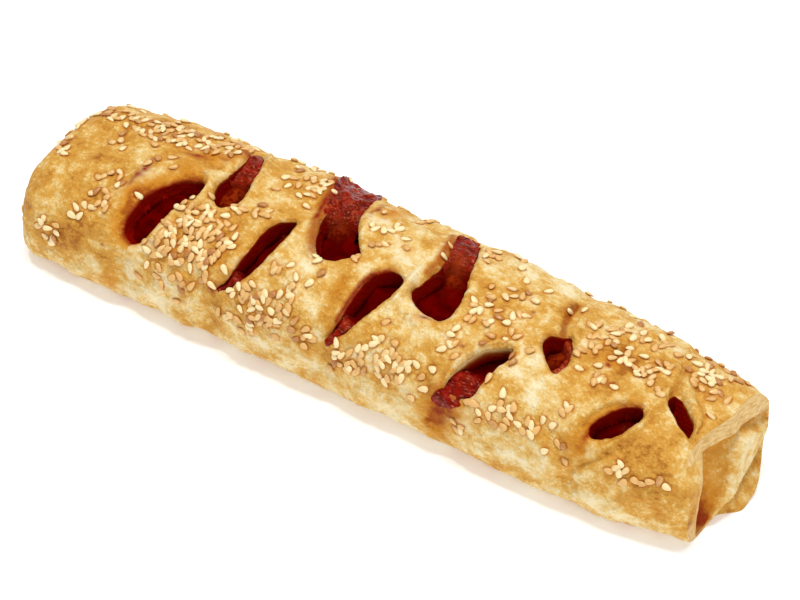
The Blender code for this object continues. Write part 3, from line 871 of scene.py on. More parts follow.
@dataclass
class Crust:
    """The baked puff-pastry shell: skin, slit walls, hollow and folded right end, in one closed piece."""

    skin: BakedSkin
    fine: float = 0.6
    finest: float = 0.4
    fine_reach: float = 3.0
    coarse: float = 1.4
    inner: float = 2.6
    end_fine: float = 0.5
    shown_front: float = -53.0
    shown_back: float = 33.0
    first_row: float = 1.2
    hollow_ends: Place = (-101.0, 96.0)
    hollow_round: float = 9.0
    hollow_rows: int = 76
    blind_depth: float = 5.4
    into_filling: float = 3.2
    TONES = ("bake", "orange", "red", "deep", "seeded", "cut", "layer")
    SOAKED = {"orange": 1.0, "red": 1.0, "deep": 1.0}

    def lattice(self, step: float, low: float, high: float, s_end: float) -> Array:
        """Return staggered places of the skin, thinned out round the left tip.

        Args:
            step: Distance between neighbours.
            low: Girth place where they start.
            high: Girth place where they stop.
            s_end: Way along the skin where they stop.

        Returns:
            The places (n, 2) as (s, v).
        """
        form = self.skin.form
        rows = []
        count = int((s_end - self.first_row) / (step * ROW_PITCH))
        for number, s in enumerate(np.linspace(self.first_row, s_end, count + 1)):
            keep = float(form.along(np.array([s]))[1][0])
            pitch = step / max(keep, 0.05)
            v = np.arange(low + pitch * (0.5 + 0.5 * (number % 2)), high - 0.2 * pitch, pitch)
            rows.append(np.stack([np.full_like(v, s), v], -1))
        return np.concatenate(rows)

    def outer_places(self) -> tuple[Array, list[Array], Array, Array]:
        """Return (s, v) places of the skin, the slit rims in them, and the two seam columns."""
        form = self.skin.form
        end, last = form.s_end, form.half_girth - 0.4 * self.coarse
        shown = self.lattice(self.fine, self.shown_front, self.shown_back, end - 0.5 * self.fine)
        under = self.lattice(self.coarse, -last, self.shown_front, end - 0.5 * self.coarse)
        behind = self.lattice(self.coarse, self.shown_back, last, end - 0.5 * self.coarse)
        places = np.concatenate([shown, under, behind])
        places = places[self.clear(places) > self.fine_reach]
        close = self.lattice(self.finest, self.shown_front, self.shown_back, end - 0.5 * self.fine)
        away = self.clear(close)
        close = close[(away > 0.45 * self.finest) & (away <= self.fine_reach)]
        rims = [np.stack([form.s_at(rim[:, 0]), form.v_of(*rim.T)], -1) for rim in self.skin.rims.values()]
        rows = np.linspace(self.first_row, end, int((end - self.first_row) / self.coarse) + 1)
        rim_v = np.concatenate([np.arange(-form.half_girth + self.coarse, self.shown_front, self.coarse),
                                np.arange(self.shown_front, self.shown_back, self.fine),
                                np.arange(self.shown_back + self.coarse, last, self.coarse)])
        edge = np.stack([np.full_like(rim_v, end), rim_v], -1)
        everything, (_, _, *loops, left, right, _) = numbered([places, close, *rims, *form.seam(rows), edge])
        return everything, loops, left, right

    def clear(self, places: Array) -> Array:
        """Return how far (s, v) places lie from the nearest slit."""
        x, _ = self.skin.form.along(places[:, 0])
        return self.skin.clearance(x, self.skin.form.arc_of(x, places[:, 1]))

    def add_skin(self, draft: Draft) -> tuple[dict[str, Array], Array, Array]:
        """Add the outer skin.

        Args:
            draft: The mesh that receives it.

        Returns:
            The rim of each slit, and the open edges at the left tip and the right end.
        """
        form = self.skin.form
        places, loops, left_column, right_column = self.outer_places()
        triangles = triangulate(places, loops)
        rng = np.random.default_rng(5)
        wobble = rng.normal(0.0, 0.06, places.shape)
        fixed = np.zeros(len(places), bool)
        fixed[np.concatenate([*loops, left_column, right_column])] = True
        fixed |= (places[:, 0] <= self.first_row + 1e-6) | (places[:, 0] >= form.s_end - 1e-6)
        places = places + np.where(fixed[:, None], 0.0, wobble)
        s, v = places.T
        index = draft.add(self.skin.place(s, v), **self.skin.tones(s, v))
        index[right_column] = index[left_column]
        draft.triangles.append(index[triangles])
        rims = {slit.name: index[loop] for slit, loop in zip(SLITS, loops)}
        tip = np.flatnonzero(s <= self.first_row + 1e-6)
        end = np.flatnonzero(s >= form.s_end - 1e-6)
        tip_ring, end_ring = index[tip[np.argsort(v[tip])]], index[end[np.argsort(v[end])]]
        return rims, tip_ring[:-1], end_ring[:-1]

    def add_slit(self, draft: Draft, slit: Slit, rim: Array) -> tuple[Array, Array] | None:
        """Add the walls of one slit.

        Args:
            draft: The mesh that receives them.
            slit: The slit.
            rim: Its rim on the skin.

        Returns:
            The lower edge and its (x, arc) places, or None for a blind slit, which is closed.
        """
        form, skin = self.skin.form, self.skin
        outline = skin.rims[slit.name]
        normal = outward(outline)
        width, drop = skin.lip(slit, normal)
        gentle = smooth(0.9, max(slit.lip, 1.4), width)
        bottom = self.blind_depth if slit.blind else skin.wall + self.into_filling
        centre = outline.mean(0)
        row, ledge = rim, outline
        room = self.room(outline, normal)
        for share in (0.04, 0.14, 0.35, 0.65, 1.0):
            side = mix(0.6 * share**0.8, -np.minimum(1.6, 0.25 * room) * share**1.3, gentle)
            if slit.blind:
                side = mix(0.1 * share, -1.2 * share, gentle) - 0.4 * share
            ledge = outline + normal * side[:, None]
            x, arc = ledge.T
            s, v = form.s_at(x), form.v_of(x, arc)
            rough = 0.16 * lumps(np.stack([x, arc, np.full(len(x), 9.0 * share)], -1), 1.3, 21)
            depth = np.maximum(mix(drop, bottom, share), drop + 0.25 * share) + rough * (1.0 - share)
            lift = skin.pillows(x, arc) - depth
            crumb = slit.crumb * smooth(0.45, 0.2, share)
            following = draft.add(skin.place(s, v, 0.0, lift), bake=0.6, orange=1.0 - crumb, cut=crumb,
                                  red=(1.0 - crumb) * mix(0.6, 1.0, share), layer=depth,
                                  deep=(1.0 - crumb) * smooth(0.0, 0.1, share))
            draft.bridge(row, following)
            row = following
        if slit.blind:
            inner = centre + (ledge - centre) * 0.35
            x, arc = inner.T
            lift = skin.pillows(x, arc) - bottom - 0.8
            points = skin.place(form.s_at(x), form.v_of(x, arc), 0.0, lift)
            following = draft.add(points, bake=0.8, **self.SOAKED)
            draft.bridge(row, following)
            hub = skin.place(form.s_at(centre[:1]), form.v_of(centre[:1], centre[1:]), 0.0,
                             skin.pillows(centre[:1], centre[1:]) - bottom - 1.0)[0]
            draft.close(following, hub, bake=0.8, **self.SOAKED)
            return None
        return row, ledge

    def room(self, outline: Array, normal: Array) -> Array:
        """Return how wide a slit is across from each point of its outline."""
        gap = np.linalg.norm(outline[:, None] - outline[None], axis=-1)
        faces = normal @ normal.T < -0.3
        return np.where(faces, gap, self.skin.reach).min(1)

    def add_hollow(self, draft: Draft, mouths: Sequence[tuple[Array, Array]]) -> None:
        """Add the inner skin round the filling.

        Args:
            draft: The mesh that receives it.
            mouths: The lower edge of each open slit, with its (x, arc) places.
        """
        form = self.skin.form
        girth = form.half_girth
        rows = np.linspace(self.hollow_ends[0] + 0.6, self.hollow_ends[1] - 0.6, self.hollow_rows)
        ledges = [np.stack([ledge[:, 0], form.v_of(*ledge.T)], -1) for _, ledge in mouths]
        grid = []
        for number, x in enumerate(rows):
            v = np.arange(-girth, girth, self.inner)[1:] + 0.5 * self.inner * (number % 2)
            v = v[v < girth - 0.5]
            grid.append(np.stack([np.full_like(v, x), v], -1))
        grid = np.concatenate(grid)
        clear = np.full(len(grid), self.skin.reach)
        for rim in ledges:
            near = np.flatnonzero((np.abs(grid - rim.mean(0)) < np.ptp(rim, axis=0) + 2.0).all(1))
            found, _ = edge_distance(grid[near], rim)
            clear[near] = np.minimum(clear[near], found)
        places, (*loops, _, left, right) = numbered([*ledges, grid[clear > 0.5], *form.seam(rows)])
        triangles = triangulate(places, loops)
        known = sum(len(loop) for loop in loops)
        x, v = places[known:].T
        s = form.s_at(x)
        points = form.point(s, v) - form.normal(s, v) * self.skin.wall
        points[:, 2] = np.maximum(points[:, 2], self.skin.wall)
        points = form.rounded_core(points, x, self.hollow_ends, self.hollow_round, 0.88)
        own = draft.add(points, bake=0.7, **self.SOAKED)
        index = np.concatenate([*(row for row, _ in mouths), own])
        index[right] = index[left]
        draft.triangles.append(index[triangles])
        for x_end in (rows[0], rows[-1]):
            ring = np.flatnonzero((places[:, 0] == x_end) & (np.arange(len(places)) >= known))
            ring = ring[np.argsort(places[ring, 1])][:-1]
            draft.close(index[ring], points[ring - known].mean(0), bake=0.7, **self.SOAKED)

    def build(self, origin: Array) -> bpy.types.Object:
        """Return the finished crust."""
        draft = Draft(*self.TONES)
        rims, tip, end = self.add_skin(draft)
        mouths = [self.add_slit(draft, slit, rims[slit.name]) for slit in SLITS]
        self.add_hollow(draft, [mouth for mouth in mouths if mouth is not None])
        points = np.concatenate(draft.points)
        draft.close(tip, points[tip].mean(0) - (0.15, 0.0, 0.0), bake=0.6)
        FoldedEnd(self.skin, self.end_fine).add(draft, end)
        return draft.build("crust_pastry", origin)


@dataclass
class FoldedEnd:
    """The right end: front wall and top flap with flaky cut edges, pocket, tongue, groove and strip."""

    skin: BakedSkin
    step: float = 0.5
    pocket_floor: float = 1.1
    pocket_depth: float = 8.5
    tongue_rise: float = 2.4
    front_line: Line = ((-15, -2), (-15.4, 3.4), (-15.4, 8.6), (-14.6, 13), (-13.7, 18.4), (-12, 21.6),
                        (-9.4, 23.8))
    tongue_inner: Line = ((-12.6, -2), (-9.6, 3), (-6.5, 5.8), (-2.8, 8.9), (-1.4, 12.9), (1, 17.1),
                          (4.3, 19.8), (8, 20.2), (12.1, 18.2), (17.6, 15.8))
    tongue_outer: Line = ((-11.4, -2), (-8.8, 1.4), (-5.8, 3.2), (-2.3, 5.5), (1.7, 7.1), (5.7, 7.9),
                          (9.6, 9), (13.4, 11.1), (15.6, 13.4), (17.4, 15.6))
    crevice: Line = ((20, 17.6), (18, 18.7), (13.3, 20.3), (9.4, 21.3), (5.7, 21.9), (-0.6, 22.7),
                     (-5.9, 23.3), (-9.4, 23.8))

    def pocket_rim(self) -> Array:
        """Return the pocket's edge as a closed loop of Y and Z."""
        wall = rounded(self.front_line, self.step, closed=False)
        tongue = rounded(self.tongue_inner, self.step, closed=False)
        keep = tongue[(tongue[:, 1] > self.pocket_floor) & (tongue[:, 0] < 8.0)]
        wall = wall[wall[:, 1] > self.pocket_floor]
        return np.concatenate([wall, np.linspace(wall[-1], keep[-1], 40)[1:-1], keep[::-1]])

    def height(self, y: Array, z: Array) -> dict[str, Array]:
        """Return the relief and the colours of the end.

        Args:
            y: Y of places in the end's section.
            z: Z of the same places.

        Returns:
            The named values of each place; ``x`` is how far it stands out (+X).
        """
        places = np.stack([y, z], -1)
        to_wall = -line_distance(places, self.front_line)
        to_tongue = -line_distance(places, self.tongue_inner)
        past_tongue = -line_distance(places, self.tongue_outer)
        under_flap = line_distance(places, self.crevice)
        below = smooth(-0.2, 1.0, under_flap)
        in_pocket = (to_wall > 0.0) & (to_tongue < 0.0) & (under_flap > 0.0) & (z > self.pocket_floor)
        share = np.clip(-to_tongue / np.maximum(-to_tongue + to_wall, 0.1), 0.0, 1.0)
        deep = self.pocket_depth * share**0.75 * smooth(0.0, 0.45, to_wall) * smooth(0.0, 0.5, under_flap)
        pocket = np.where(in_pocket, -deep * smooth(self.pocket_floor, 3.5, z), 0.0)
        on_tongue = smooth(-0.4, 0.8, to_tongue) * smooth(0.5, -0.6, past_tongue) * below
        tongue = self.tongue_rise * on_tongue * smooth(-1.0, 6.0, z)
        behind = smooth(-0.4, 0.8, past_tongue) * below
        groove = -2.2 * bell(past_tongue - 1.3, 1.5) * smooth(-0.4, 0.6, past_tongue) * smooth(-1.0, 5.0, z)
        gap = -1.9 * bell(under_flap, 0.55) * smooth(-10.5, -7.0, y)
        layers = lumps(np.stack([y * 0.22, z * 1.15 + 0.12 * y], -1), 1.0, 31)
        uneven = lumps(places, 3.0, 32)
        on_flap = smooth(0.3, -0.3, under_flap)
        on_wall = smooth(0.2, -0.4, to_wall) * smooth(0.3, -0.3, -under_flap)
        wall_layers = lumps(np.stack([y * 1.15 - 0.2 * z, z * 0.22], -1), 1.0, 33)
        rough = on_flap * (0.42 * layers + 0.3 * uneven) + on_wall * (0.3 * wall_layers + 0.25 * uneven)
        rough = rough + 0.22 * uneven * (1.0 - on_flap) * (1.0 - on_wall)
        broken = np.maximum(smooth(9.0, 4.0, z), bell(to_wall + 0.5, 0.6))
        cut = np.clip(on_flap + on_wall * broken, 0.0, 1.0)
        low_corner = smooth(24.0, 8.0, z) * smooth(13.0, 5.0, to_wall)
        bake = mix(0.48 + 0.3 * low_corner, 0.22, on_tongue)
        orange = np.where(in_pocket, 0.25 + 0.75 * low_corner, 0.05)
        red = np.where(in_pocket, 0.8 * low_corner * smooth(14.0, 5.0, z) * smooth(10.0, 4.0, to_wall), 0.0)
        layer = np.where(on_flap > 0.5, under_flap, np.where(on_wall > 0.5, to_wall, to_tongue))
        x = self.skin.form.end_shift(y, z) + pocket + tongue * 0.9 + groove + gap + rough - 0.4 * behind
        return {"x": x, "bake": bake, "orange": orange, "red": red, "cut": cut, "layer": layer}

    def add(self, draft: Draft, rim: Array) -> None:
        """Close the roll's right end.

        Args:
            draft: The mesh that receives the end.
            rim: The ring of skin points at the end, in order.
        """
        form = self.skin.form
        edge = np.concatenate(draft.points)[rim]
        outline = edge[:, 1:]
        low, high = outline.min(0), outline.max(0)
        across = np.arange(low[0], high[0], self.step)
        grid = np.concatenate([np.stack([across + 0.5 * self.step * (i % 2), np.full(len(across), z)], -1)
                               for i, z in enumerate(np.arange(low[1], high[1], self.step * ROW_PITCH))])
        near_edge, _ = edge_distance(grid, outline)
        pocket = self.pocket_rim()
        near_pocket, _ = edge_distance(grid, pocket)
        grid = grid[(near_edge < -0.55) & (np.abs(near_pocket) > 0.3)]
        inset, ledge = (loop - outward(loop) * 0.28 for loop in (pocket, outline))
        ledge = ledge[np.abs(edge_distance(ledge, pocket)[0]) > 0.4]
        draft.values["layer"][0][rim] = self.height(*outline.T)["layer"]
        places, (border, _, ring, _, _) = numbered([outline, grid, pocket, inset, ledge])
        triangles = triangulate(places, [border], [np.append(ring, ring[0])], inside=True)
        y, z = places[len(outline):].T
        shape = self.height(y, z)
        near, _ = edge_distance(places[len(outline):], outline)
        rise = shape.pop("x")
        shift = form.end_shift(y, z)
        x = form.length / 2.0 + shift + (rise - shift) * smooth(0.0, 0.8, -near)
        inner = draft.add(np.stack([x, y, z], -1), **shape)
        index = np.concatenate([rim, inner])
        draft.triangles.append(index[triangles])


# ---------------------------------------------------------------- filling and sauce


@dataclass
class Filling:
    """The sausage core under the crust: lumpy, dark red and wet, with browner meat where it swelled."""

    skin: BakedSkin
    gap: float = 0.4
    sunk: float = 0.4
    ends: Place = (-100.4, 95.4)
    end_round: float = 9.0
    around: int = 150
    along: int = 330
    MEAT = spots((-49.6, -2, 4, 6.6, 0, 1), (-16.4, 3.2, 2.6, 2.2, 0, 0.9), (19.4, 6.2, 2.2, 4.8, 10, 1),
                 (-29, -5.8, 2.2, 1.8, 0, 1), (59.6, -4.6, 2.2, 4, -20, 0.8), (86, -15.5, 1.6, 2, 0, 0.3))
    SWOLLEN = spots((-50, -1, 3.6, 5.8, 0, 2.2), (-16.6, 3.6, 3, 2.4, 0, 2.2), (19, 6.7, 2.4, 4.8, 0, 2.2),
                    (-29, -5.6, 2.2, 2, 0, 2.2), (59.6, -4.4, 2.2, 4.4, -20, 1.8))

    def build(self, origin: Array) -> bpy.types.Object:
        """Return the finished filling."""
        form = self.skin.form
        middle, half = (self.ends[0] + self.ends[1]) / 2.0, (self.ends[1] - self.ends[0]) / 2.0
        turns = np.linspace(-1.0, 1.0, self.along)[1:-1]
        share = np.linspace(-1.0, 1.0, self.around, endpoint=False)
        draft = Draft("meat")
        rows = []
        for turn in turns:
            x = np.full(self.around, middle + half * math.sin(turn * math.pi / 2.0))
            v = share * form.half_girth
            s = form.s_at(x)
            arc = form.arc_of(x, v)
            shape = form.point(s, v)
            swell = painted(self.SWOLLEN, x, arc)
            rough = 0.8 * lumps(shape, 6.0, 51) + 0.45 * lumps(shape, 2.8, 52) + 0.2 * lumps(shape, 1.4, 53)
            top = np.maximum(form.normal(s, v)[:, 2], 0.0) ** 2
            depth = self.skin.wall + self.gap + self.sunk * top + (rough + 0.7) * (0.3 + 0.7 * top) - swell
            points = shape - form.normal(s, v) * depth[:, None]
            points[:, 2] = np.maximum(points[:, 2], self.skin.wall + self.gap)
            points = form.rounded_core(points, x, self.ends, self.end_round, 0.86)
            meat = painted(self.MEAT, x, arc)
            meat = meat + 0.35 * lumps(shape, 4.0, 54) * (meat > 0.1)
            rows.append(draft.add(points, meat=np.clip(meat, 0.0, 1.0)))
        for row, following in zip(rows, rows[1:]):
            draft.bridge(row, following)
        points = np.concatenate(draft.points)
        for row in (rows[0], rows[-1]):
            draft.close(row, points[row].mean(0))
        return draft.build("filling_sausage", origin)


@dataclass(frozen=True)
class Spill:
    """Sauce that boiled up and set: its outline on the skin and its height over the skin at places."""

    name: str
    outline: Line
    heights: tuple[tuple[float, float, float], ...]
    rough: float = 0.5
    pale: float = 0.3


SPILLS = (
    Spill("back_1",
          ((-53.6, 3), (-53.6, 8), (-55, 12.6), (-56.4, 16.4), (-53.8, 18.4), (-50.6, 17.4), (-48.2, 13.4),
           (-46.4, 8.8), (-45.4, 4.4), (-47.8, 2.2), (-51, 1.8)),
          ((-50, 4, -2.6), (-49.5, 8, -1.5), (-51, 12.5, -0.8), (-53.6, 16, 0)), rough=0.5, pale=0.25),
    Spill("back_2",
          ((-20, -4), (-21.6, 0), (-23, 5), (-24.9, 10), (-27.4, 15), (-29, 20), (-29.4, 25), (-23, 27),
           (-17, 26), (-13.6, 21), (-12.2, 15), (-11.2, 10), (-9, 5), (-9.8, 2), (-13, 2.8), (-17, 1.8),
           (-18.8, -1), (-18.4, -4.4)),
          ((-15.4, 4, -3), (-11.2, 4.4, -1.9), (-21.4, 3.6, 0.3), (-18.6, 4.6, -1.4), (-22.8, 8, 0.3),
           (-19.8, -2, 0.2), (-16.4, 8.5, -1.2), (-23.6, 13, 0.6), (-20, 12, -0.1), (-13.2, 13, -0.2),
           (-16.7, 15, 0.2), (-15.2, 19.5, 0.3), (-19.7, 20, 0.5), (-25, 19, 0.5), (-23.5, 23, 0.5)),
          rough=0.8, pale=0.4),
    Spill("back_3",
          ((15.8, -2), (16.2, 3), (14.9, 8), (12.9, 13), (11.8, 18), (15, 21.4), (18.8, 20.8), (22.2, 16.4),
           (24.6, 11), (26.6, 5.6), (27.6, 0.6), (25.4, 0.8), (23.6, 4.2), (20.6, 5), (18.6, 2.4),
           (17.4, -1)),
          ((16.9, 1, 0.3), (17, 5, 0.4), (18.8, 5.4, -1.2), (20, 7.4, -2.4), (25, 4.6, -1.8), (22.4, 9, -1.9),
           (16, 10.6, 0.5), (17.8, 11.6, -0.4), (20.8, 13, -0.7), (14.8, 16.4, 0.5), (17.4, 17.4, 0.3)),
          rough=0.65, pale=0.35),
    Spill("back_4",
          ((60, 0), (58.4, -3), (60, -6.4), (60.4, -10.4), (62.6, -13.8), (64.8, -11.4), (65, -7),
           (63.8, -3.4), (62, -0.6)),
          ((60.6, -2.2, -1.7), (61.2, -4.8, -3), (62.8, -7.6, -1.1), (62.8, -11, -1.5)), rough=0.4, pale=0.9),
    Spill("front_4",
          ((41, -21.4), (38.2, -25), (35.8, -28.6), (33.4, -32.6), (33.2, -35.6), (36.4, -37.2), (40, -35.2),
           (43.6, -32.8), (46.6, -30.4), (48, -26.4), (48.4, -22.2), (44.6, -20.8)),
          ((44.5, -22.2, -3), (42, -25.4, -1.5), (45.6, -26, -1.3), (40, -28.4, -0.5), (43.6, -29.4, -0.5),
           (38, -32, 0.4), (42, -33, 0.3), (35.6, -35.6, 0.35), (34.4, -36, 0.25)), rough=0.6, pale=0.05),
    Spill("front_3",
          ((2.2, -23), (1, -27.6), (-1.8, -32), (0.2, -34.4), (4, -31.2), (7, -27.6), (8, -24), (5, -22.6)),
          ((4.6, -24.2, -2.2), (3.8, -27, -0.7), (1, -31, 0.3)), rough=0.4, pale=0.35),
    Spill("front_2",
          ((-33.4, -24.8), (-34.8, -28.4), (-37.6, -31.4), (-38.4, -33), (-36.2, -33.6), (-33.2, -30.6),
           (-30.2, -27.6), (-29, -25), (-31.2, -24)),
          ((-31.2, -25.2, -2.8), (-33, -28, -1.1), (-36.8, -32.2, 0)), rough=0.4, pale=0.1),
)


@dataclass
class Sauce:
    """Tomato sauce set in and over the slits: rough, glossy, closed patches sunk into the crust."""

    skin: BakedSkin
    step: float = 0.42
    thick: float = 2.4
    edge: float = 1.2
    edge_sink: float = 1.3
    plunge: float = 6.2
    slope: float = 3.2

    def add_patch(self, draft: Draft, spill: Spill, number: int) -> None:
        """Add one closed patch of sauce.

        Args:
            draft: The mesh that receives it.
            spill: The patch's outline and heights.
            number: Seed of its jitter.
        """
        form = self.skin.form
        outline = rounded(spill.outline, self.step)
        low, high = outline.min(0), outline.max(0)
        grid = np.stack(np.meshgrid(np.arange(low[0], high[0], self.step),
                                    np.arange(low[1], high[1], self.step)), -1).reshape(-1, 2)
        grid = grid + np.random.default_rng(number).uniform(-0.1, 0.1, grid.shape)
        near, _ = edge_distance(grid, outline)
        grid = grid[near < -0.3 * self.step]
        places = np.concatenate([outline, grid])
        triangles = triangulate(places, [np.arange(len(outline))], inside=True)
        x, arc = places.T
        s, v = form.s_at(x), form.v_of(x, arc)
        away = np.maximum(-edge_distance(places, outline)[0], 0.0)
        knots = np.array(spill.heights)
        gap = ((places[:, None, :] - knots[None, :, :2]) ** 2).sum(-1) + 0.5
        level = (knots[:, 2] / gap**1.5).sum(1) / (1.0 / gap**1.5).sum(1)
        shape = form.point(s, v)
        bumps = 0.6 * lumps(shape, 2.6, 61) + 0.5 * lumps(shape, 1.25, 62)
        border = outline[((places[:, None] - outline[None]) ** 2).sum(-1).argmin(1)]
        in_hole = smooth(0.2, 1.4, -self.skin.clearance(*border.T))
        inside = smooth(0.0, mix(self.edge, self.slope, in_hole), away)
        floor = -mix(self.edge_sink, self.plunge, in_hole)
        over = smooth(-0.4, 0.4, self.skin.clearance(x, arc))
        ground = mix(self.skin.pillows(x, arc), self.skin.relief(s, v), over)
        lift = ground + mix(floor, level + spill.rough * bumps * inside, inside)
        shown = smooth(-5.0, -1.6, mix(floor, level, inside))
        pale = np.clip(spill.pale + 0.5 * bumps, 0.0, 1.0) * inside * shown
        tones = {"pale": pale, "deep": 1.0 - shown, "meat": painted(Filling.MEAT, x, arc)}
        top = draft.add(self.skin.place(s, v, 0.0, lift), **tones)
        under = draft.add(self.skin.place(s, v, self.thick * (0.15 + inside), lift), **tones)
        edge = np.arange(len(outline))
        draft.triangles += [top[triangles], under[triangles]]
        draft.bridge(top[edge], under[edge])

    def build(self, origin: Array) -> bpy.types.Object:
        """Return the finished sauce."""
        draft = Draft("pale", "deep", "meat")
        for number, spill in enumerate(SPILLS):
            self.add_patch(draft, spill, number)
        return draft.build("sauce_spilled", origin)


# ---------------------------------------------------------------- sesame seeds


@dataclass
class Sesame:
    """Hulled sesame seeds scattered over the skin by Geometry Nodes, thick where the crust says so."""

    long: float = 2.9
    wide: float = 1.78
    thick: float = 0.95
    spacing: float = 1.2
    density: float = 0.8
    seed: int = 4
    tilt: float = 0.2
    smallest: tuple[float, float, float] = (0.84, 0.84, 0.8)
    largest: tuple[float, float, float] = (1.1, 1.12, 1.15)
    lift: Place = (0.1, 0.45)
    around: int = 8
    rings: int = 6

    def kernel(self) -> bpy.types.Object:
        """Return one teardrop-shaped seed of some hundred triangles, with its point at +X."""
        draft = Draft()
        rows = []
        angle = np.linspace(0.0, 2.0 * math.pi, self.around, endpoint=False)
        for turn in np.linspace(0.0, math.pi, self.rings + 2)[1:-1]:
            along = -math.cos(turn)
            fat = math.sin(turn) ** 0.9 * (1.0 - 0.34 * along)
            across = 0.5 * self.wide * fat * np.cos(angle), 0.5 * self.thick * fat * np.sin(angle)
            rows.append(draft.add(np.stack([np.full(self.around, 0.5 * self.long * along), *across], -1)))
        for row, following in zip(rows, rows[1:]):
            draft.bridge(row, following)
        draft.close(rows[0], np.array([-0.5 * self.long, 0.0, 0.0]))
        draft.close(rows[-1], np.array([0.5 * self.long, 0.0, 0.0]))
        return draft.build("sesame_kernel", np.zeros(3))

    def tree(self, kernel: bpy.types.Object, material: bpy.types.Material) -> bpy.types.NodeTree:
        """Return the scattering node tree with its named inputs."""
        tree = bpy.data.node_groups.new("scatter_sesame", "GeometryNodeTree")
        interface = tree.interface
        interface.new_socket("Geometry", in_out="INPUT", socket_type="NodeSocketGeometry")
        for name, value in (("Spacing", self.spacing * MM), ("Density", self.density / MM**2)):
            socket = interface.new_socket(name, in_out="INPUT", socket_type="NodeSocketFloat")
            socket.default_value = value
        interface.new_socket("Seed", in_out="INPUT", socket_type="NodeSocketInt")
        interface.new_socket("Geometry", in_out="OUTPUT", socket_type="NodeSocketGeometry")
        entry = add_node(tree, "NodeGroupInput")
        seeded = add_node(tree, "GeometryNodeInputNamedAttribute", {"Name": "seeded"}, data_type="FLOAT")
        points = add_node(tree, "GeometryNodeDistributePointsOnFaces",
                          {"Mesh": entry.outputs["Geometry"], "Distance Min": entry.outputs["Spacing"],
                           "Density Max": entry.outputs["Density"], "Seed": entry.outputs["Seed"],
                           "Density Factor": seeded.outputs[0]}, distribute_method="POISSON")
        spin = self.draw(tree, (0.0, 0.0, 0.0), (0.0, 0.0, math.tau), 1)
        tilt = self.draw(tree, (-self.tilt, -self.tilt, 0.0), (self.tilt, self.tilt, 0.0), 2)
        turned = add_node(tree, "FunctionNodeRotateRotation",
                          {"Rotation": points.outputs["Rotation"], "Rotate By": spin}, rotation_space="LOCAL")
        tilted = add_node(tree, "FunctionNodeRotateRotation",
                          {"Rotation": turned.outputs[0], "Rotate By": tilt}, rotation_space="LOCAL")
        size = self.draw(tree, self.smallest, self.largest, 3)
        source = add_node(tree, "GeometryNodeObjectInfo", {"Object": kernel}, transform_space="ORIGINAL")
        placed = add_node(tree, "GeometryNodeInstanceOnPoints",
                          {"Points": points.outputs["Points"], "Instance": source.outputs["Geometry"],
                           "Rotation": tilted.outputs[0], "Scale": size})
        lift = self.draw(tree, *((0.0, 0.0, height * MM) for height in self.lift), 4)
        moved = add_node(tree, "GeometryNodeTranslateInstances",
                         {"Instances": placed.outputs[0], "Translation": lift})
        tone = add_node(tree, "FunctionNodeRandomValue", {"Seed": 5}, data_type="FLOAT")
        toned = add_node(tree, "GeometryNodeStoreNamedAttribute",
                         {"Geometry": moved.outputs[0], "Name": "tone", "Value": tone.outputs[1]},
                         data_type="FLOAT", domain="INSTANCE")
        real = add_node(tree, "GeometryNodeRealizeInstances", {"Geometry": toned.outputs[0]})
        painted_seeds = add_node(tree, "GeometryNodeSetMaterial",
                                 {"Geometry": real.outputs[0], "Material": material})
        add_node(tree, "NodeGroupOutput", {"Geometry": painted_seeds.outputs[0]})
        return tree

    @staticmethod
    def draw(tree: bpy.types.NodeTree, low: Sequence[float], high: Sequence[float], seed: int) -> Any:
        """Return the output of a node that draws a random vector for each seed."""
        node = add_node(tree, "FunctionNodeRandomValue", {"Min": low, "Max": high, "Seed": seed},
                        data_type="FLOAT_VECTOR")
        return node.outputs[0]

    def build(self, crust: bpy.types.Object, material: bpy.types.Material) -> bpy.types.Object:
        """Return all the seeds as one plain mesh on the crust."""
        kernel = self.kernel()
        holder = linked("sesame_holder", crust.data)
        modifier = holder.modifiers.new("scatter", "NODES")
        tree = self.tree(kernel, material)
        modifier.node_group = tree
        inputs = {item.name: item.identifier for item in tree.interface.items_tree if item.in_out == "INPUT"}
        modifier[inputs["Spacing"]] = self.spacing * MM
        modifier[inputs["Density"]] = self.density / MM**2
        modifier[inputs["Seed"]] = self.seed
        faces = 2 * self.around * self.rings
        graph = bpy.context.evaluated_depsgraph_get()
        mesh = bpy.data.meshes.new_from_object(holder.evaluated_get(graph))
        for helper in (holder, kernel):
            bpy.data.objects.remove(helper)
        mesh.name = "sesame_seeds"
        piece = linked("sesame_seeds", mesh)
        mesh.shade_smooth()
        LOG.info("sesame_seeds: %d seeds, %d triangles", len(mesh.polygons) // faces, len(mesh.polygons))
        self.press(mesh, crust.data)
        return piece

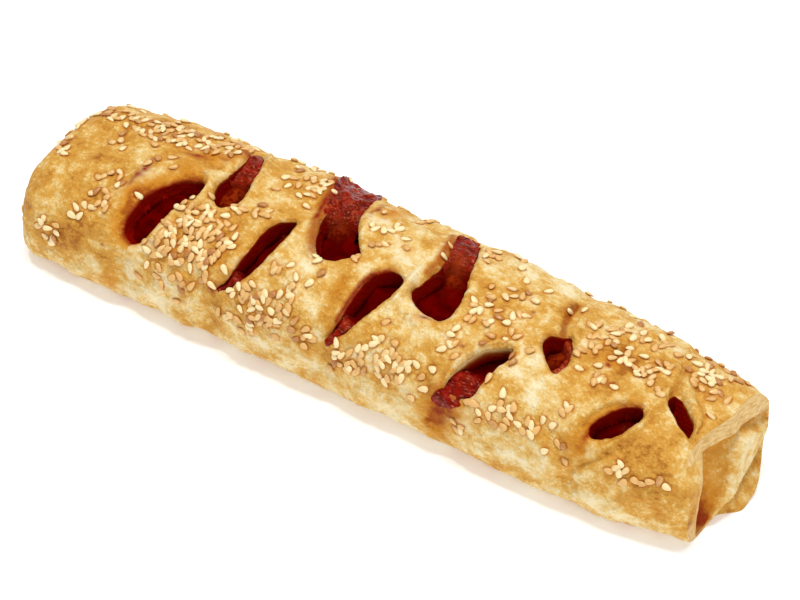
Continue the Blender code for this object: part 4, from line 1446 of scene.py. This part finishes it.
    def press(self, seeds: bpy.types.Mesh, crust: bpy.types.Mesh) -> None:
        """Store on the crust how close each point lies to a seed: a ring of glaze browning and painted
        contact shade.

        Args:
            seeds: The mesh of all the seeds.
            crust: The crust's mesh, which gets the named value ``seed_glaze_shade``.
        """
        corners = np.zeros(len(seeds.vertices) * 3)
        seeds.vertices.foreach_get("co", corners)
        kernels = corners.reshape(-1, self.around * self.rings + 2, 3)
        skin = np.zeros(len(crust.vertices) * 3)
        crust.vertices.foreach_get("co", skin)
        skin = skin.reshape(-1, 3)
        tree = KDTree(len(skin))
        for number, place in enumerate(skin):
            tree.insert(place, number)
        tree.balance()
        # painted contact shade with glaze browning: a ring round every seed that fades out past its edge
        seed_glaze_shade = np.zeros(len(skin))
        for kernel in kernels:
            middle = kernel.mean(0)
            near = np.array([item[1] for item in tree.find_range(middle, 0.9 * self.long * MM)], int)
            if not len(near):
                continue
            axis = kernel[-1] - kernel[-2]
            axis = axis / np.linalg.norm(axis)
            offset = (skin[near] - middle) / MM
            along = offset @ axis
            across = np.linalg.norm(offset - along[:, None] * axis, axis=1)
            away = np.hypot(along / (0.5 * self.long), across / (0.5 * self.wide)) - 1.0
            seed_glaze_shade[near] = np.maximum(seed_glaze_shade[near], np.exp(-(np.maximum(away, 0.0) / 0.36) ** 2))
        layer = crust.attributes.new("seed_glaze_shade", "FLOAT", "POINT")
        layer.data.foreach_set("value", seed_glaze_shade.astype(np.float32))


# ---------------------------------------------------------------- finishes


def linear(code: str) -> tuple[float, float, float, float]:
    """Return an sRGB hex colour as linear red, green, blue and full alpha."""
    parts = [int(code[i:i + 2], 16) / 255.0 for i in (0, 2, 4)]
    red, green, blue = (p / 12.92 if p <= 0.04045 else ((p + 0.055) / 1.055) ** 2.4 for p in parts)
    return red, green, blue, 1.0


def feed(tree: bpy.types.NodeTree, socket: bpy.types.NodeSocket, value: Any) -> None:
    """Give an input socket a value or hex colour, or link it to the output socket that feeds it."""
    if isinstance(value, bpy.types.NodeSocket):
        tree.links.new(value, socket)
    else:
        colour = isinstance(value, str) and socket.type == "RGBA"
        socket.default_value = linear(value) if colour else value


def add_node(tree: bpy.types.NodeTree, kind: str, inputs: dict[Any, Any] | None = None,
             **settings: Any) -> Any:
    """Add one node to a tree.

    Args:
        tree: The tree that receives it.
        kind: The node's type.
        inputs: For each input's name or number, a value, a hex colour or the output that feeds it.
        settings: Properties of the node.

    Returns:
        The node.
    """
    node = tree.nodes.new(kind)
    for name, value in settings.items():
        setattr(node, name, value)
    for key, value in (inputs or {}).items():
        sockets = [socket for socket in node.inputs if socket.enabled and socket.name == key]
        feed(tree, sockets[0] if sockets else node.inputs[key], value)
    return node


class Kind(Enum):
    """Kinds of node: the type, the output, the inputs in the order they are given, and the settings."""

    NOISE = ("ShaderNodeTexNoise", "Fac", ("Vector", "Scale", "Detail", "Roughness"))
    STRETCH = ("ShaderNodeMapping", 0, ("Vector", "Scale"))
    JOIN = ("ShaderNodeCombineXYZ", 0, (0, 1, 2))
    SPAN = ("ShaderNodeMapRange", 0, ("Value", "From Min", "From Max", "To Min", "To Max"),
            {"interpolation_type": "SMOOTHSTEP"})
    PLUS = ("ShaderNodeMath", 0, (0, 1), {"operation": "ADD"})
    TIMES = ("ShaderNodeMath", 0, (0, 1), {"operation": "MULTIPLY"})
    TIMES_PLUS = ("ShaderNodeMath", 0, (0, 1, 2), {"operation": "MULTIPLY_ADD"})
    MIX = ("ShaderNodeMix", 2, (0, 6, 7), {"data_type": "RGBA"})
    MULTIPLY_MIX = ("ShaderNodeMix", 2, (0, 6, 7), {"data_type": "RGBA", "blend_type": "MULTIPLY"})
    RAMP = ("ShaderNodeValToRGB", "Color", ("Fac",))
    BUMP = ("ShaderNodeBump", 0, ("Height", "Distance", "Strength", "Normal"))


def per(size: float) -> float:
    """Return the scale of a pattern that repeats every ``size`` millimetres."""
    return 1.0 / (size * MM)


def graded(colour: bpy.types.NodeSocket, stops: Sequence[tuple[float, str]]) -> bpy.types.NodeSocket:
    """Give the ramp that ``colour`` comes from its places and hex colours, and return ``colour``."""
    elements = colour.node.color_ramp.elements
    while len(elements) < len(stops):
        elements.new(0.5)
    for element, (place, code) in zip(elements, stops):
        element.position = place
        element.color = linear(code)
    return colour


@dataclass
class Shading:
    """One material's node tree, with the mesh's named values that its finish reads."""

    name: str
    reads: tuple[str, ...] = ()

    def __post_init__(self) -> None:
        """Start the material with its shader, object coordinates and named values."""
        self.material = bpy.data.materials.new(self.name)
        self.material.use_nodes = True
        self.tree = self.material.node_tree
        self.shader = self.tree.nodes["Principled BSDF"]
        self.coords = add_node(self.tree, "ShaderNodeTexCoord").outputs["Object"]
        self.tones = {tone: add_node(self.tree, "ShaderNodeAttribute", attribute_name=tone).outputs["Fac"]
                      for tone in self.reads}

    def add(self, kind: Kind, *values: Any) -> bpy.types.NodeSocket:
        """Add one node.

        Args:
            kind: What it does.
            values: Its inputs in the kind's order: values, hex colours or outputs of other nodes.

        Returns:
            Its output.
        """
        node, output, inputs, *settings = kind.value
        return add_node(self.tree, node, dict(zip(inputs, values)), **dict(*settings)).outputs[output]

    def flecks(self, size: float, detail: float, *span: float) -> bpy.types.NodeSocket:
        """Return soft flecks ``size`` millimetres apart: noise with the given inputs of a SPAN."""
        return self.add(Kind.SPAN, self.add(Kind.NOISE, self.coords, per(size), detail, 0.55), *span)

    def finish(self, **sockets: Any) -> bpy.types.Material:
        """Set the shader's sockets, with ``_`` for a space in their names, and return the material."""
        for name, value in sockets.items():
            feed(self.tree, self.shader.inputs[name.replace("_", " ")], value)
        return self.material


@dataclass(frozen=True)
class EggWashedPastry:
    """Baked puff pastry brushed with egg: satin golden brown, pale where it puffed last, brown at edges."""

    pale: str = "F0DFB4"
    golden: str = "E5C37C"
    amber: str = "D6A046"
    brown: str = "C68A34"
    dark: str = "A4631C"
    soaked: str = "CE8416"
    burnt: str = "A04E08"
    red: str = "8C1C08"
    deep: str = "800903"
    # multiplied into the crust round each seed: glaze browning and painted contact shade
    seed_glaze_shade: str = "D9A55C"
    crumb: str = "E9C688"
    crumb_shadow: str = "D3A660"

    def material(self) -> bpy.types.Material:
        """Return the crust's material."""
        look = Shading("pastry_egg_washed", ("bake", "layer", "cut", "orange", "seed_glaze_shade", "red", "deep"))
        add, tones, coords = look.add, look.tones, look.coords
        # browning: broad blotches, then paler blisters and a fine pale flake
        blotch = add(Kind.PLUS, add(Kind.NOISE, coords, per(5.0), 4.0, 0.6), -0.475)
        bake = add(Kind.TIMES_PLUS, blotch, 1.6, tones["bake"])
        blister = add(Kind.NOISE, add(Kind.STRETCH, coords, (0.75, 1.0, 1.0)), per(1.3), 4.0, 0.62)
        puffed = add(Kind.PLUS, add(Kind.SPAN, blister, 0.46, 0.68), -0.2)
        bake = add(Kind.TIMES_PLUS, puffed, -0.22, bake)
        fine = add(Kind.NOISE, coords, per(0.7), 4.0, 0.65)
        flake = add(Kind.PLUS, add(Kind.SPAN, fine, 0.46, 0.7), -0.2)
        bake = add(Kind.TIMES_PLUS, flake, -0.2, bake)
        base = graded(add(Kind.RAMP, bake), ((0.0, self.pale), (0.3, self.golden), (0.54, self.amber),
                                             (0.8, self.brown), (1.0, self.dark)))
        # dough layers where a knife cut the sheet: thin across, drawn out along the cut
        level = add_node(look.tree, "ShaderNodeSeparateXYZ", {"Vector": coords}).outputs
        sheet = add(Kind.JOIN, add(Kind.TIMES, tones["layer"], MM), add(Kind.TIMES, level[1], 0.16),
                    add(Kind.TIMES, level[2], 0.16))
        layers = add(Kind.SPAN, add(Kind.NOISE, sheet, per(0.38), 3.0), 0.42, 0.62)
        base = add(Kind.MIX, tones["cut"], base, add(Kind.MIX, layers, self.crumb, self.crumb_shadow))
        # juice that soaked in, glaze browning with painted contact shade round the seeds, red sauce and the
        # dark inside of the slits
        soak = add(Kind.TIMES, tones["orange"], look.flecks(1.8, 3.0, 0.2, 0.6, 0.5, 1.0))
        base = add(Kind.MIX, add(Kind.SPAN, soak, 0.0, 0.8, 0.0, 0.85), base, self.soaked)
        base = add(Kind.MIX, add(Kind.SPAN, soak, 0.55, 1.0, 0.0, 0.9), base, self.burnt)
        # painted contact shade: the crust is multiplied darker round every seed, together with the glaze
        # browning there
        base = add(Kind.MULTIPLY_MIX, add(Kind.TIMES, tones["seed_glaze_shade"], 0.8), base, self.seed_glaze_shade)
        red = add(Kind.TIMES, tones["red"], look.flecks(1.1, 3.0, 0.15, 0.5, 0.7, 1.0))
        base = add(Kind.MIX, red, base, self.red)
        base = add(Kind.MIX, tones["deep"], base, self.deep)
        grain = add(Kind.NOISE, coords, per(0.5), 3.0, 0.6)
        skin = add(Kind.BUMP, grain, 0.16 * MM, 0.8, add(Kind.BUMP, blister, 0.9 * MM, 1.0))
        rough = add(Kind.SPAN, bake, 0.1, 0.9, 0.6, 0.42)
        gloss = add(Kind.SPAN, tones["deep"], 0.0, 0.5, 0.12, 0.0)
        return look.finish(Base_Color=base, Roughness=rough, Normal=skin, IOR=1.45, Specular_IOR_Level=gloss)


@dataclass(frozen=True)
class SausageMeat:
    """Cooked spiced sausage under the crust: wet, dark red, orange-brown where it swelled up."""

    red: str = "620100"
    deep: str = "480000"
    meat: str = "8C2C0A"

    def material(self) -> bpy.types.Material:
        """Return the filling's material."""
        look = Shading("sausage_meat_wet", ("meat",))
        base = look.add(Kind.MIX, look.flecks(3.5, 4.0, 0.35, 0.65), self.deep, self.red)
        swollen = look.add(Kind.TIMES, look.tones["meat"], look.flecks(1.2, 4.0, 0.38, 0.58, 0.2, 1.0))
        base = look.add(Kind.MIX, swollen, base, self.meat)
        skin = look.add(Kind.BUMP, look.add(Kind.NOISE, look.coords, per(1.2), 4.0, 0.6), 0.5 * MM, 1.0)
        return look.finish(Base_Color=base, Roughness=0.5, Normal=skin, IOR=1.4, Specular_IOR_Level=0.0)


@dataclass(frozen=True)
class TomatoSauce:
    """Tomato sauce baked on: glossy dark red, pinkish and dull where it dried, dotted with painted
    pinkish-white highlights.
    """

    red: str = "8A1408"
    deep: str = "520402"
    dried: str = "B04C1C"
    sunk: str = "680100"
    meat: str = "8C2C0A"
    # pinkish white of the painted highlight dots
    painted_glint: str = "D88468"

    def material(self) -> bpy.types.Material:
        """Return the sauce's material."""
        look = Shading("tomato_sauce_baked", ("pale", "deep", "meat"))
        add, tones = look.add, look.tones
        base = add(Kind.MIX, look.flecks(2.2, 4.0, 0.3, 0.65), self.deep, self.red)
        dry = add(Kind.TIMES, tones["pale"], look.flecks(0.9, 4.0, 0.45, 0.62, 0.0, 0.8))
        base = add(Kind.MIX, dry, base, self.dried)
        # painted highlight: pinkish-white dots drawn out along the roll, mixed into the sauce's colour
        glint_dots = add(Kind.NOISE, add(Kind.STRETCH, look.coords, (0.35, 1.0, 1.0)), per(0.5), 3.0, 0.6)
        base = add(Kind.MIX, add(Kind.SPAN, glint_dots, 0.56, 0.74, 0.0, 0.6), base, self.painted_glint)
        base = add(Kind.MIX, tones["deep"], base, self.sunk)
        swollen = add(Kind.TIMES, tones["meat"], look.flecks(1.6, 4.0, 0.25, 0.5, 0.5, 1.0))
        base = add(Kind.MIX, swollen, base, self.meat)
        skin = add(Kind.BUMP, add(Kind.NOISE, look.coords, per(1.5), 3.0, 0.6), 0.5 * MM, 1.0)
        return look.finish(Base_Color=base, Roughness=0.1, Normal=skin, IOR=1.4, Specular_IOR_Level=0.12,
                           Specular_Tint=(1.0, 0.62, 0.45, 1.0))


@dataclass(frozen=True)
class ToastedSesame:
    """Hulled sesame: smooth oily cream kernels, some toasted golden or brown."""

    cream: str = "F2DBA4"
    golden: str = "DFB06A"
    brown: str = "B4763A"

    def material(self) -> bpy.types.Material:
        """Return the seeds' material."""
        look = Shading("sesame_toasted", ("tone",))
        uneven = look.add(Kind.PLUS, look.add(Kind.NOISE, look.coords, per(1.4), 2.0, 0.55), -0.5)
        toast = look.add(Kind.TIMES_PLUS, uneven, 0.2, look.tones["tone"])
        base = graded(look.add(Kind.RAMP, toast), ((0.0, self.cream), (0.3, self.cream), (0.55, self.golden),
                                                   (0.82, self.golden), (0.96, self.brown)))
        skin = look.add(Kind.BUMP, look.add(Kind.NOISE, look.coords, per(0.5), 2.0, 0.55), 0.04 * MM, 0.6)
        return look.finish(Base_Color=base, Roughness=0.42, Normal=skin, IOR=1.46, Coat_Weight=0.1,
                           Subsurface_Weight=0.1, Subsurface_Radius=(1.0, 0.7, 0.4),
                           Subsurface_Scale=0.5 * MM)


@dataclass(frozen=True)
class WhiteBoard:
    """White acrylic table top lit a little from below, matt and even, with no grain to see."""

    white: str = "FCFCFC"

    def material(self) -> bpy.types.Material:
        """Return the floor's material."""
        return Shading("acrylic_matt_white").finish(
            Base_Color=self.white, Roughness=0.9, Specular_IOR_Level=0.1, Emission_Color=self.white,
            Emission_Strength=0.25)


# ---------------------------------------------------------------- studio


@dataclass
class Studio:
    """Pale floor, soft light from the upper left and a long lens that looks down on the roll."""

    centre: Array
    back: Vector = field(default_factory=lambda: Vector((0.4156, -0.6161, 0.6691)))
    right: Vector = field(default_factory=lambda: Vector((0.829, 0.559, 0.0)))
    up: Vector = field(default_factory=lambda: Vector((-0.374, 0.5547, 0.743)))
    distance: float = 1050.0
    lens: float = 173.64
    sensor: float = 36.0
    aim_height: float = 16.5
    aim_right: float = 5.09
    aim_up: float = 0.44
    floor_reach: float = 6.0

    def camera(self) -> None:
        """Make the camera and look through it."""
        aim = Vector(self.centre) + self.right * self.aim_right + self.up * self.aim_up
        aim = aim + Vector((0.0, 0.0, self.aim_height))
        data = bpy.data.cameras.new("camera")
        data.lens, data.sensor_width = self.lens, self.sensor
        data.clip_start, data.clip_end = 0.05, 20.0
        camera = linked("camera", data)
        rotation = Matrix((self.right, self.up, self.back)).transposed()
        camera.matrix_world = Matrix.Translation((aim + self.back * self.distance) * MM) @ rotation.to_4x4()
        bpy.context.scene.camera = camera

    def lamp(self, name: str, direction: Vector, distance: float, size: float, watts: float,
             diffuse: float = 1.0) -> None:
        """Add a square lamp that points at the roll.

        Args:
            name: The lamp's name.
            direction: Where it stands, seen from the roll.
            distance: How far from the roll it stands, in millimetres.
            size: Its side, in millimetres.
            watts: Its power.
            diffuse: Its share in diffuse light; at 0 it only glints.
        """
        data = bpy.data.lights.new(name, "AREA")
        data.shape, data.size, data.energy = "SQUARE", size * MM, watts
        data.diffuse_factor = diffuse
        lamp = linked(name, data)
        direction = direction.normalized()
        lamp.location = (Vector(self.centre) + direction * distance) * MM
        lamp.rotation_mode = "QUATERNION"
        lamp.rotation_quaternion = direction.to_track_quat("Z", "Y")

    def floor(self, material: bpy.types.Material) -> None:
        """Make the floor."""
        mesh = bpy.data.meshes.new("floor")
        sides = (-1, -1), (1, -1), (1, 1), (-1, 1)
        corners = [(x * self.floor_reach, y * self.floor_reach, 0.0) for x, y in sides]
        mesh.from_pydata(corners, [], [(0, 1, 2, 3)])
        mesh.materials.append(material)
        linked("floor", mesh)

    def build(self, floor_material: bpy.types.Material) -> None:
        """Make camera, floor, world and lamps."""
        self.camera()
        self.floor(floor_material)
        world = bpy.data.worlds.new("soft_room")
        world.use_nodes = True
        sky = world.node_tree.nodes["Background"].inputs
        sky["Color"].default_value = (1.0, 1.0, 1.0, 1.0)
        sky["Strength"].default_value = 0.4
        bpy.context.scene.world = world
        key = self.up + self.right * 0.1 + self.back * 0.75
        fill = self.back + self.right * 0.45 - self.up * 0.35
        sparkle = self.up - self.right * 0.3 + self.back * 0.7
        self.lamp("key", key, distance=1600.0, size=500.0, watts=15.0)
        self.lamp("fill", fill, distance=1100.0, size=900.0, watts=3.6)
        self.lamp("sparkle", sparkle, distance=1300.0, size=90.0, watts=4.0, diffuse=0.0)
        settings = bpy.context.scene.view_settings
        settings.view_transform, settings.look = "Standard", "None"
        settings.exposure, settings.gamma = 0.0, 1.0


# ---------------------------------------------------------------- making


FLAP_SHIFT = np.array([2.65, 1.75])  # how far the flaps of the ends put the crust's box off its own middle


def dress(piece: bpy.types.Object, material: bpy.types.Material, slot: str, *nodes: str) -> None:
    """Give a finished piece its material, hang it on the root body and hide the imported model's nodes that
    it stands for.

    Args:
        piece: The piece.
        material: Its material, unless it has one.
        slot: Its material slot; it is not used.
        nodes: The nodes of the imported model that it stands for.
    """
    if not piece.data.materials:
        piece.data.materials.append(material)
    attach(piece, "root")
    if nodes:
        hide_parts(*nodes)


def main() -> None:
    """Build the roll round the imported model."""
    logging.basicConfig(level=logging.INFO, format="%(message)s")
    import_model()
    low, high = (np.array(corner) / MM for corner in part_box("crust"))
    origin = np.append((low + high)[:2] / 2.0 - FLAP_SHIFT, low[2])
    Studio(origin).build(WhiteBoard().material())
    skin = BakedSkin(RollForm())
    crust = Crust(skin).build(origin)
    crust.data.materials.append(EggWashedPastry().material())
    seeds = Sesame().build(crust, ToastedSesame().material())
    dress(crust, crust.data.materials[0], "crust", "crust")
    dress(seeds, seeds.data.materials[0], "sesame")
    dress(Filling(skin).build(origin), SausageMeat().material(), "filling", "filling")
    dress(Sauce(skin).build(origin), TomatoSauce().material(), "filling")


if __name__ == "__main__":
    main()
